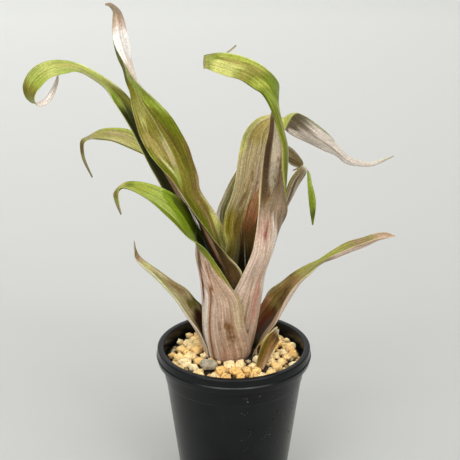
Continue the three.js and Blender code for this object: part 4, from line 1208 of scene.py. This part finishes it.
def torn(grid, sides, steps):
    """Pull the end of a broken leaf down into a ragged edge"""
    along = grid_directions(grid)[1]
    places, drops = zip(*TORN_EDGE)
    drop = np.interp(sides, places, drops)
    from_end = (len(grid) - np.arange(len(grid))) / steps
    share = np.clip(1 - from_end / TORN_ROWS, 0, 1) ** 2
    return grid - along * (share[:, None] * drop)[:, :, None]


def leaf_relief(rows, sides, widest, seed):
    """Height of the ribs and of the waved margins over the middle surface"""
    across = sides[None, :] * widest / 2 / RIB_PITCH
    ribs = flat_noise(across, rows[:, None] * RIB_CELLS, seed)
    wave = flat_noise(np.sign(sides)[None, :] * MARGIN_CELLS[0], rows[:, None] * MARGIN_CELLS[1], seed + 1)
    inner = 1 - sides[None, :] ** RIB_FADE
    outer = np.abs(sides[None, :]) ** MARGIN_SHARPNESS
    return RIB_HEIGHT * ribs * inner + MARGIN_WAVE * wave * outer


def stroke_mask(row, side, stations):
    """How much of a stroke lies at each grid point"""
    rows, lows, highs = zip(*stations)
    low = np.interp(row, rows, lows)
    high = np.interp(row, rows, highs)
    soft = np.clip(SIDE_SOFT_SHARE * (np.minimum(high, 1) - np.maximum(low, -1)), *SIDE_SOFT)
    return soft_range(side, low, high, soft) * soft_range(row, rows[0], rows[-1], ROW_SOFT)


def spot_mask(row, side, box, count, seed):
    """Small seeded spots inside a range of rows and sides"""
    draw = np.random.default_rng(seed)
    low, high, left, right = box
    total = np.zeros_like(row)
    for _ in range(count):
        place = draw.uniform(low, high), draw.uniform(left, right)
        size = draw.uniform(*SPOT_ROWS), draw.uniform(*SPOT_SIDES)
        reach = np.hypot((row - place[0]) / size[0], (side - place[1]) / size[1])
        total = np.maximum(total, draw.uniform(*SPOT_STRENGTH) * np.clip(SPOT_REACH - reach, 0, 1))
    return total


def veins(row, side, seed):
    """Brightness of the fine pale and dark veins along a face"""
    draw = np.random.default_rng(seed)
    total = np.ones_like(row)
    for k in range(VEIN_COUNT):
        middle = draw.uniform(-1, 1)
        half = draw.uniform(*VEIN_HALF)
        low = draw.uniform(-2, row.max())
        high = low + draw.uniform(*VEIN_LENGTH)
        strength = draw.uniform(*VEIN_STRENGTH) * (1 if k % 2 else -1)
        width = np.clip(VEIN_REACH - np.abs(side - middle) / half, 0, 1)
        total = total + strength * width * soft_range(row, low, high, ROW_SOFT)
    return total


def cover(colour, name, mask):
    """Lay a named colour over the colours where the mask says"""
    mask = mask[:, :, None]
    return colour * (1 - mask) + linear(COLOURS[name]) * mask


def face_noise(side, row, cells, seed):
    """Noise over a face, with its cells given for a side and a row"""
    return flat_noise(side * cells[0], row * cells[1], seed)


def paint(node, face, rows, sides, seed):
    """Colour of one face of a leaf at each grid point"""
    row, side = np.broadcast_arrays(rows[:, None], sides[None, :])
    bend = flat_noise(row * SIDE_BEND_CELLS[1], side * SIDE_BEND_CELLS[0], seed)
    bent_side = side + SIDE_BEND * bend
    bent_row = row + ROW_BEND * face_noise(side, row, ROW_BEND_CELLS, seed + 1)
    ground, strokes = PAINT[node][face]
    colour = cover(np.zeros(row.shape + (3,)), ground, np.ones(row.shape))
    for name, strength, *stations in strokes:
        colour = cover(colour, name, strength * stroke_mask(bent_row, bent_side, stations))
    for k, (spot_face, name, *box, count) in enumerate(PAINT[node]["spots"]):
        if spot_face == face:
            colour = cover(colour, name, spot_mask(row, side, box, count, seed + 6 + k))
    streak = (face_noise(side, row, STREAK_CELLS, seed + 2)
              + FINE_STREAKS * face_noise(side, row, FINE_STREAK_CELLS, seed + 3))
    cloud = face_noise(side, row, CLOUD_CELLS, seed + 4)
    shade = np.clip(1 + STREAKS * streak + CLOUDS * cloud, *SHADE_LIMITS)
    shade = shade * np.clip(veins(row, side, seed + 5), *VEIN_LIMITS)
    return colour * shade[:, :, None]


def leaf_faces(rows, columns):
    """Faces round a leaf. Each section is a ring: the upper face, the right rim,
    the lower face back again, and the left rim."""
    ring = 2 * columns + 2
    faces, slots = [], []
    for i in range(rows - 1):
        for k in range(ring):
            after = (k + 1) % ring
            faces.append((i * ring + k, i * ring + after, (i + 1) * ring + after, (i + 1) * ring + k))
            slots.append(1 if columns < k < ring - 1 else 0)
    for i, flip in ((0, False), (rows - 1, True)):
        upper = [i * ring + j for j in range(columns)]
        lower = [i * ring + 2 * columns - j for j in range(columns)]
        caps = [(upper[j], lower[j], lower[j + 1], upper[j + 1]) for j in range(columns - 1)]
        caps.append((upper[-1], lower[-1], i * ring + columns))
        caps.append((lower[0], upper[0], i * ring + ring - 1))
        faces.extend(cap[::-1] if flip else cap for cap in caps)
        slots.extend([0] * len(caps))
    return faces, slots


def column_sides():
    """Places across a leaf from -1 to 1, closer together near the margins"""
    reach = COLUMN_CROWDING * math.pi / 2
    return np.sin(np.linspace(-1, 1, LEAF_COLUMNS + 1) * reach) / math.sin(reach)


def leaf_ring(grid, over, normal, thickness):
    """Closed sections round a leaf: upper face, right rim, lower face, left rim"""
    half = normal * thickness[:, :, None] / 2
    rim = LEAF_MARGIN / 2
    right_rim = grid[:, -1:] + over[:, -1:] * rim
    left_rim = grid[:, :1] - over[:, :1] * rim
    return np.concatenate([grid + half, right_rim, (grid - half)[:, ::-1], left_rim], axis=1)


def leaf_tint(node, rows, sides, seed):
    """Colours of both faces and of the pale margins, in the order of the ring"""
    upper = paint(node, "upper", rows, sides, seed)
    under = paint(node, "under", rows, sides, seed + 10)
    margin = MARGIN_SHARE * linear(COLOURS[MARGIN_COLOUR])
    right_rim = (1 - MARGIN_SHARE) * upper[:, -1:] + margin
    left_rim = (1 - MARGIN_SHARE) * upper[:, :1] + margin
    return np.concatenate([upper, right_rim, under[:, ::-1], left_rim], axis=1)


def leaf_uv(grid, sides, widest):
    """Places across and along a leaf in centimetres, in the order of the ring"""
    middle_line = grid[:, len(sides) // 2]
    length = np.concatenate([[0], np.linalg.norm(np.diff(middle_line, axis=0), axis=1).cumsum()])
    across = (sides + 1) / 2 * widest / UV_LENGTH
    ring_across = np.concatenate([across, across[-1:], across[::-1], across[:1]])
    return np.stack(np.broadcast_arrays(ring_across[None, :], length[:, None] / UV_LENGTH), axis=-1)


def make_leaf(node, leaf, materials, seed):
    """Fine leaf on the same rows as its CAD solid"""
    sides = column_sides()
    sections = leaf_sections(leaf, sides)
    grid = smooth_lines(sections, LEAF_STEPS)
    rows = np.linspace(0, len(sections) - 1, len(grid))
    if node == "leaf_stub":
        grid = torn(grid, sides, LEAF_STEPS)
    width = np.linalg.norm(np.diff(grid, axis=1), axis=2).sum(axis=1)
    taper = np.clip(width / LEAF_FULL_WIDTH, 0, 1)[:, None]
    over, _, normal = grid_directions(grid)
    relief = leaf_relief(rows, sides, width.max(), seed) * taper
    grid = grid + normal * relief[:, :, None]
    thickness = LEAF_MARGIN + (LEAF_MIDDLE - LEAF_MARGIN) * (1 - sides[None, :] ** 2) * taper
    ring = leaf_ring(grid, over, normal, thickness)
    faces, slots = leaf_faces(len(grid), len(sides))
    piece = new_mesh(node + "_skin", ring.reshape(-1, 3), faces, materials)
    piece.data.polygons.foreach_set("material_index", slots)
    add_tint(piece, leaf_tint(node, rows, sides, seed).reshape(-1, 3))
    add_uv(piece, leaf_uv(grid, sides, width.max()).reshape(-1, 2))
    keep(piece, node)
    return piece


# Pot

def rounded(corners, steps=5):
    """Profile of (radius, height, rounding) corners with each corner rounded"""
    points = []
    for i, (radius, height, rounding) in enumerate(corners):
        here = np.array([radius, height])
        if rounding == 0 or i in (0, len(corners) - 1):
            points.append(here)
            continue
        before = np.array(corners[i - 1][:2]) - here
        after = np.array(corners[i + 1][:2]) - here
        start = here + before / np.linalg.norm(before) * min(rounding, np.linalg.norm(before) / 2)
        end = here + after / np.linalg.norm(after) * min(rounding, np.linalg.norm(after) / 2)
        for t in np.linspace(0, 1, steps + 1):
            points.append((1 - t) ** 2 * start + 2 * t * (1 - t) * here + t * t * end)
    return points


def turned(profile, sides):
    """Vertices and faces of a closed profile turned about +Z; ends lie on the axis"""
    angles = 2 * math.pi * np.arange(sides) / sides
    vertices = [(0, 0, profile[0][1]), (0, 0, profile[-1][1])]
    for radius, height in profile[1:-1]:
        vertices.extend((radius * math.cos(a), radius * math.sin(a), height) for a in angles)
    rings = len(profile) - 2
    faces = []
    for k in range(sides):
        after = (k + 1) % sides
        faces.append((0, 2 + after, 2 + k))
        last = 2 + (rings - 1) * sides
        faces.append((1, last + k, last + after))
        for i in range(rings - 1):
            low, high = 2 + i * sides, 2 + (i + 1) * sides
            faces.append((low + k, low + after, high + after, high + k))
    return vertices, faces


def pot_wall(height):
    """Outer radius of the pot's wall, in metres"""
    share = height / (POT_HEIGHT - POT_RIM_DEPTH)
    return POT_BASE_RADIUS + (POT_WALL_TOP_RADIUS - POT_BASE_RADIUS) * share


def drain_drill(angle):
    """Upright cylinder through the pot's floor at an angle about the axis"""
    mesh = bpy.data.meshes.new("drill")
    builder = bmesh.new()
    bmesh.ops.create_cone(builder, cap_ends=True, segments=DRAIN_SIDES, radius1=DRAIN_RADIUS,
                          radius2=DRAIN_RADIUS, depth=3 * POT_FLOOR)
    builder.to_mesh(mesh)
    builder.free()
    drill = bpy.data.objects.new("drill", mesh)
    bpy.context.collection.objects.link(drill)
    drill.location = (DRAIN_CIRCLE * math.cos(angle), DRAIN_CIRCLE * math.sin(angle), POT_FLOOR / 2)
    return drill


def cut_drain_holes(pot):
    """Drill the ring of drain holes and keep the cut mesh"""
    drills = [drain_drill(2 * math.pi * (k + 0.5) / DRAIN_HOLES) for k in range(DRAIN_HOLES)]
    for drill in drills:
        cut = pot.modifiers.new("drain", "BOOLEAN")
        cut.operation = "DIFFERENCE"
        cut.solver = "EXACT"
        cut.object = drill
    bpy.context.view_layer.update()
    depsgraph = bpy.context.evaluated_depsgraph_get()
    cut_mesh = bpy.data.meshes.new_from_object(pot.evaluated_get(depsgraph))
    pot.modifiers.clear()
    pot.data = cut_mesh
    for drill in drills:
        bpy.data.objects.remove(drill)


def make_pot(material):
    """Smooth pot with a lip on its rim band, a step below the band and drain holes"""
    rim_bottom = POT_HEIGHT - POT_RIM_DEPTH
    rim = POT_RIM_RADIUS
    corners = [
        (0, 0, 0), (POT_BASE_RADIUS - 0.2 * MM, 0, 1.6 * MM),
        (pot_wall(POT_STEP_HEIGHT) - POT_STEP, POT_STEP_HEIGHT - 0.4 * MM, 0.3 * MM),
        (pot_wall(POT_STEP_HEIGHT), POT_STEP_HEIGHT, 0.3 * MM),
        (pot_wall(rim_bottom), rim_bottom, 0.5 * MM), (rim - 0.9 * MM, rim_bottom + 0.1 * MM, 0.5 * MM),
        (rim, POT_HEIGHT - POT_LIP_DROP, 0.1 * MM),
        (rim - POT_LIP, POT_HEIGHT - POT_LIP_DROP + POT_LIP_CHAMFER, 0.1 * MM),
        (rim - POT_LIP, POT_HEIGHT, 1.1 * MM),
        (POT_MOUTH_RADIUS, POT_HEIGHT, 1.0 * MM),
        (pot_wall(rim_bottom) - POT_WALL, rim_bottom, 0.8 * MM),
        (pot_wall(POT_FLOOR) - POT_WALL, POT_FLOOR, 1.0 * MM), (0, POT_FLOOR, 0),
    ]
    vertices, faces = turned(rounded(corners), POT_SIDES)
    pot = new_mesh("pot_shell", np.array(vertices) / MM, faces, [material])
    cut_drain_holes(pot)
    keep(pot, "pot")
    return pot


# Gravel

def make_random(seed):
    """The same repeatable numbers as in the CAD"""
    state = seed

    def draw():
        nonlocal state
        state = (state * RANDOM_FACTOR + RANDOM_STEP) % RANDOM_RANGE
        return state / RANDOM_RANGE
    return draw


def pot_bore(height):
    """Inner radius of the pot's wall, in millimetres"""
    return (pot_wall(height * MM) - POT_WALL) / MM


def fill_height(distance):
    """Height of the fill at a distance from the pot's axis, in millimetres"""
    edge = pot_bore(FILL_TOP) - GAP
    share = np.clip((edge - distance) / (edge - HEAP_RADIUS), 0, 1)
    return FILL_TOP + (HEAP_TOP - FILL_TOP) * share


def grain_fits(x, y, size):
    """Whether a grain stays clear of the pot, the crown, the pebble and the stub"""
    return (math.hypot(x, y) + GRAIN_WALL_SHARE * size < pot_bore(FILL_TOP) - GAP
            and math.hypot(x - STEM_X, y) - size > CROWN_CLEAR
            and math.hypot(x - GREY_PEBBLE["x"], y - GREY_PEBBLE["y"]) - size > PEBBLE_CLEAR
            and math.hypot(x - STUB_FOOT[0], y - STUB_FOOT[1]) - size > STUB_CLEAR)


def grain_places():
    """Where the grains lie, by the same rule and seed as in the CAD"""
    random = make_random(GRAIN_SEED)
    row_step = GRAIN_SPACING * math.sqrt(3) / 2
    places = []
    for row in range(-GRAIN_REACH, GRAIN_REACH + 1):
        for column in range(-GRAIN_REACH, GRAIN_REACH + 1):
            stagger = 0 if row % 2 == 0 else 0.5
            x = (column + stagger) * GRAIN_SPACING + GRAIN_NUDGE * (random() - 0.5)
            y = row * row_step + GRAIN_NUDGE * (random() - 0.5)
            wanted = GRAIN_MIN + (GRAIN_MAX - GRAIN_MIN) * random()
            lift = GRAIN_LIFT * (random() - 0.5)
            turn = random() * 2 * math.pi
            seed = math.floor(random() * 1e6)
            size = next((tried for tried in (wanted,) + GRAIN_SMALLER if grain_fits(x, y, tried)), None)
            if size:
                z = fill_height(math.hypot(x, y)) + GRAIN_LEVEL + lift
                places.append((x, y, z, size, turn, seed))
    return places


def grit_fits(x, y, size):
    """Whether a small grain stays clear of the pot, the crown, the pebble and the stub"""
    from_pebble = math.hypot((x - GREY_PEBBLE["x"]) / PEBBLE_LONGER, y - GREY_PEBBLE["y"])
    return (math.hypot(x, y) + GRIT_SHARE * size < pot_bore(FILL_TOP) - GAP
            and math.hypot(x - STEM_X, y) > GRIT_CLEAR
            and from_pebble > PEBBLE_CLEAR + GRIT_SHARE * size
            and math.hypot(x - STUB_FOOT[0], y - STUB_FOOT[1]) > STUB_CLEAR + size)


def grit_places():
    """Where smaller grains fill the gaps between the others"""
    draw = np.random.default_rng(GRAIN_SEED)
    edge = pot_bore(FILL_TOP) - GAP
    places = []
    for x in np.arange(-edge, edge, GRIT_SPACING):
        for y in np.arange(-edge, edge, GRIT_SPACING):
            px, py = draw.uniform(-GRIT_NUDGE, GRIT_NUDGE, 2) + (x, y)
            size = draw.uniform(*GRIT_SIZES)
            lift, turn = draw.uniform(*GRIT_LIFT), draw.uniform(0, 2 * math.pi)
            seed = int(draw.integers(1, 1000000))
            if grit_fits(px, py, size):
                places.append((px, py, fill_height(math.hypot(px, py)) + lift, size, turn, seed))
    return places


GOLDEN = (1 + math.sqrt(5)) / 2
ICOSAHEDRON_CORNERS = unit(np.array([
    (-1, GOLDEN, 0), (1, GOLDEN, 0), (-1, -GOLDEN, 0), (1, -GOLDEN, 0),
    (0, -1, GOLDEN), (0, 1, GOLDEN), (0, -1, -GOLDEN), (0, 1, -GOLDEN),
    (GOLDEN, 0, -1), (GOLDEN, 0, 1), (-GOLDEN, 0, -1), (-GOLDEN, 0, 1),
]))
ICOSAHEDRON_FACES = (
    (0, 11, 5), (0, 5, 1), (0, 1, 7), (0, 7, 10), (0, 10, 11), (1, 5, 9), (5, 11, 4), (11, 10, 2),
    (10, 7, 6), (7, 1, 8), (3, 9, 4), (3, 4, 2), (3, 2, 6), (3, 6, 8), (3, 8, 9), (4, 9, 5),
    (2, 4, 11), (6, 2, 10), (8, 6, 7), (9, 8, 1),
)
# Order in which the CAD meets the corners, so that each gets the same push
CORNER_ORDER = (11, 5, 0, 1, 7, 10, 9, 4, 2, 6, 8, 3)


@functools.cache
def fine_icosahedron(detail):
    """Shares of the 12 corners at each point of a finely divided icosahedron, and faces"""
    shares, faces, found = [], [], {}
    for corners in ICOSAHEDRON_FACES:
        index = {}
        for i in range(detail + 1):
            for j in range(detail + 1 - i):
                share = np.zeros(len(ICOSAHEDRON_CORNERS))
                for corner, amount in zip(corners, (detail - i - j, i, j)):
                    share[corner] += amount / detail
                key = tuple(np.round(share * detail).astype(int))
                if key not in found:
                    found[key] = len(shares)
                    shares.append(share)
                index[i, j] = found[key]
        for i in range(detail):
            for j in range(detail - i):
                faces.append((index[i, j], index[i + 1, j], index[i, j + 1]))
                if i + j < detail - 1:
                    faces.append((index[i + 1, j], index[i + 1, j + 1], index[i, j + 1]))
    return np.array(shares), faces


def rotation(axis, angle):
    """Rotation matrix about x, y or z"""
    c, s = math.cos(angle), math.sin(angle)
    if axis == "x":
        return np.array([(1, 0, 0), (0, c, -s), (0, s, c)])
    if axis == "y":
        return np.array([(c, 0, s), (0, 1, 0), (-s, 0, c)])
    return np.array([(c, -s, 0), (s, c, 0), (0, 0, 1)])


def grain_shape(shares, size, turn, seed):
    """Points of one angular grain with worn edges and a pitted skin, and its relief"""
    random = make_random(seed)
    stretch = np.array([1, *(flat + GRAIN_SPREAD * random() for flat in GRAIN_FLATNESS)])
    push = np.zeros(len(ICOSAHEDRON_CORNERS))
    for corner in CORNER_ORDER:
        push[corner] = size * (1 - GRAIN_ROUGHNESS * random())
    direction = unit(shares @ ICOSAHEDRON_CORNERS)
    flat = shares @ (ICOSAHEDRON_CORNERS * push[:, None]) * stretch
    round_shape = direction * (shares @ push)[:, None] * stretch
    shape = GRAIN_FLAT_SHARE * flat + (1 - GRAIN_FLAT_SHARE) * round_shape
    lumps = lattice_noise(direction * GRAIN_LUMPS[0] + 5 + seed % 13, seed)
    pits = lattice_noise(direction * GRAIN_PITS[0] + 9, seed + 1)
    shape = shape * (1 + GRAIN_LUMPS[1] * lumps + GRAIN_PITS[1] * pits)[:, None]
    turn_matrix = rotation("z", turn) @ rotation("x", GRAIN_TIP * random())
    return shape @ turn_matrix.T, (lumps + pits) / 2


def grain_tint(points, relief, seed):
    """Cream to tan, with painted shade: darker in the pits and towards the fill"""
    draw = np.random.default_rng(seed)
    first, second = draw.integers(0, len(GRAIN_COLOURS), 2)
    share = draw.uniform(0, 1)
    base = linear(GRAIN_COLOURS[first]) * share + linear(GRAIN_COLOURS[second]) * (1 - share)
    fill = fill_height(np.hypot(points[:, 0], points[:, 1]))
    # Painted shade: darker towards the fill, where the gaps between grains lie in shade
    low = SHADE_STRENGTH * smooth_step((fill + SHADE_START - points[:, 2]) / SHADE_DEPTH)[:, None]
    # Painted shade: darker in the pits, lighter on the lumps
    colour = base * (1 + GRAIN_RELIEF_SHADE * relief)[:, None]
    return colour * (1 - low) + linear(GRAIN_SHADE) * GRAIN_SHADE_LIGHT * low


def make_gravel(material):
    """Fill of the pot, its top layer of grains and the grit between them"""
    bottom = POT_FLOOR / MM + GAP
    profile = [(0, bottom), (pot_bore(bottom) - GAP, bottom), (pot_bore(FILL_TOP) - GAP, FILL_TOP),
               (HEAP_RADIUS, HEAP_TOP), (0, HEAP_TOP)]
    fill_vertices, fill_faces = turned(profile, FILL_SIDES)
    points, all_faces = [np.array(fill_vertices)], list(fill_faces)
    tints = [np.tile(linear(FILL_COLOUR), (len(fill_vertices), 1))]
    count = len(fill_vertices)
    grains = [(place, fine_icosahedron(GRAIN_DETAIL)) for place in grain_places()]
    grains += [(place, fine_icosahedron(GRIT_DETAIL)) for place in grit_places()]
    for (x, y, z, size, turn, seed), (shares, faces) in grains:
        shape, relief = grain_shape(shares, size, turn, seed)
        shape = shape + (x, y, z)
        points.append(shape)
        tints.append(grain_tint(shape, relief, seed))
        all_faces.extend(tuple(count + k for k in face) for face in faces)
        count += len(shape)
    gravel = new_mesh("gravel_bed", np.concatenate(points), all_faces, [material])
    add_tint(gravel, np.concatenate(tints))
    keep(gravel, "gravel")
    return gravel


def make_grey_pebble(material):
    """Squarish grey pebble at the front left"""
    shares, faces = fine_icosahedron(PEBBLE_DETAIL)
    direction = unit(shares @ ICOSAHEDRON_CORNERS)
    box_like = 1 / (np.abs(direction) ** PEBBLE_SQUARENESS).sum(axis=1) ** (1 / PEBBLE_SQUARENESS)
    lumps = PEBBLE_LUMPS[1] * lattice_noise(direction * PEBBLE_LUMPS[0] + 3, PEBBLE_SEED)
    pits = PEBBLE_PITS[1] * lattice_noise(direction * PEBBLE_PITS[0] + 3, PEBBLE_SEED + 1)
    shape = direction * (box_like * (PEBBLE_BODY + lumps + pits))[:, None] * np.array(GREY_PEBBLE["size"])
    turn = rotation("z", GREY_PEBBLE["turn"]) @ rotation("y", GREY_PEBBLE["tilt"])
    shape = shape @ turn.T + (GREY_PEBBLE["x"], GREY_PEBBLE["y"], GREY_PEBBLE["z"])
    pebble = new_mesh("pebble_grey", shape, faces, [material])
    keep(pebble, "grey_pebble")
    return pebble


# Water drops on the right of the pot: seeded azimuths, heights and sizes
DROP_COUNT = 64
DROP_AZIMUTHS = (-84, -18)
DROP_HEIGHTS = (45, 84)
DROP_RADII = (0.15, 0.42)
DROP_FLATNESS = 0.5
DROP_TALLER = (1, 1.4)
DROP_DETAIL = 3
DROP_SEED = 12


def make_drops(material):
    """Small flattened drops lying on the pot's wall"""
    draw = np.random.default_rng(DROP_SEED)
    shares, faces = fine_icosahedron(DROP_DETAIL)
    direction = unit(shares @ ICOSAHEDRON_CORNERS)
    lean = math.atan2((POT_WALL_TOP_RADIUS - POT_BASE_RADIUS), POT_HEIGHT - POT_RIM_DEPTH)
    points, all_faces, count = [], [], 0
    for _ in range(DROP_COUNT):
        azimuth = math.radians(draw.uniform(*DROP_AZIMUTHS))
        height = draw.uniform(*DROP_HEIGHTS)
        radius = DROP_RADII[0] + (DROP_RADII[1] - DROP_RADII[0]) * draw.uniform() ** 2
        flat = direction * (radius * DROP_FLATNESS, radius, radius * draw.uniform(*DROP_TALLER))
        turn = rotation("z", azimuth) @ rotation("y", lean)
        wall = pot_wall(height * MM) / MM
        place = np.array([wall * math.cos(azimuth), wall * math.sin(azimuth), height])
        points.append(flat @ turn.T + place)
        all_faces.extend(tuple(count + k for k in face) for face in faces)
        count += len(direction)
    drops = new_mesh("water_drops", np.concatenate(points), all_faces, [material])
    keep(drops, None)
    return drops


# Stage, lights and camera

def make_stage(material):
    """Pale floor that sweeps up far behind the plant"""
    half_width, front, back, rise, top = 4000, -2500, 1500, 500, 2600
    profile = [(front, 0.0), (back, 0.0)]
    for t in np.linspace(0, math.pi / 2, 12)[1:]:
        profile.append((back + rise * math.sin(t), rise * (1 - math.cos(t))))
    profile.append((back + rise, float(top)))
    vertices, faces = [], []
    for y, z in profile:
        vertices.extend([(-half_width, y, z), (half_width, y, z)])
    for i in range(len(profile) - 1):
        faces.append((2 * i, 2 * i + 1, 2 * i + 3, 2 * i + 2))
    stage = new_mesh("floor_sweep", vertices, faces, [material])
    return stage


def area_light(name, place, target, width, height, power, colour):
    """Soft rectangular lamp aimed at a place"""
    data = bpy.data.lights.new(name, "AREA")
    data.shape = "RECTANGLE"
    data.size = width
    data.size_y = height
    data.energy = power
    data.color = colour
    lamp = bpy.data.objects.new(name, data)
    lamp.location = place
    lamp.rotation_euler = (Vector(target) - Vector(place)).to_track_quat("-Z", "Y").to_euler()
    bpy.context.collection.objects.link(lamp)
    return lamp


def make_lights():
    """Big soft lamps above, at the left and right front, a narrow front lamp and a pale sky"""
    for lamp in LAMPS:
        area_light(*lamp)
    world = bpy.data.worlds.new("pale_sky")
    world.use_nodes = True
    sky = world.node_tree.nodes["Background"]
    sky.inputs["Color"].default_value = SKY_COLOUR
    sky.inputs["Strength"].default_value = SKY_STRENGTH
    bpy.context.scene.world = world


def make_camera():
    """Camera at the photograph's viewing angle"""
    data = bpy.data.cameras.new("photo_view")
    data.sensor_width = CAMERA_SENSOR
    data.lens = CAMERA_LENS
    data.clip_start = CAMERA_CLIP
    camera = bpy.data.objects.new("photo_view", data)
    camera.location = CAMERA_PLACE
    camera.rotation_euler = (math.radians(90 - CAMERA_PITCH_DOWN), 0, 0)
    bpy.context.collection.objects.link(camera)
    bpy.context.scene.camera = camera


def main():
    """Build the whole scene"""
    make_camera()
    make_lights()
    make_stage(stage_material())
    upper = leaf_material("leaf_upper_face", low_rough=0.32, high_rough=0.46,
                          speck=0.04, speck_colour=LEAF_UPPER_SCURF)
    under = leaf_material("leaf_under_face", low_rough=0.5, high_rough=0.68,
                          speck=0.14, speck_colour=LEAF_UNDER_SCURF)
    for k, (node, leaf) in enumerate(LEAVES.items()):
        make_leaf(node, leaf, [upper, under], LEAF_SEED + LEAF_SEED_STEP * k)
    make_pot(pot_material())
    make_gravel(pumice_material())
    make_grey_pebble(pebble_material())
    make_drops(water_material())
    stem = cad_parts["stem"]
    stem.data.materials.clear()
    stem.data.materials.append(stem_material())
    bpy.context.scene.view_settings.view_transform = "Standard"


main()
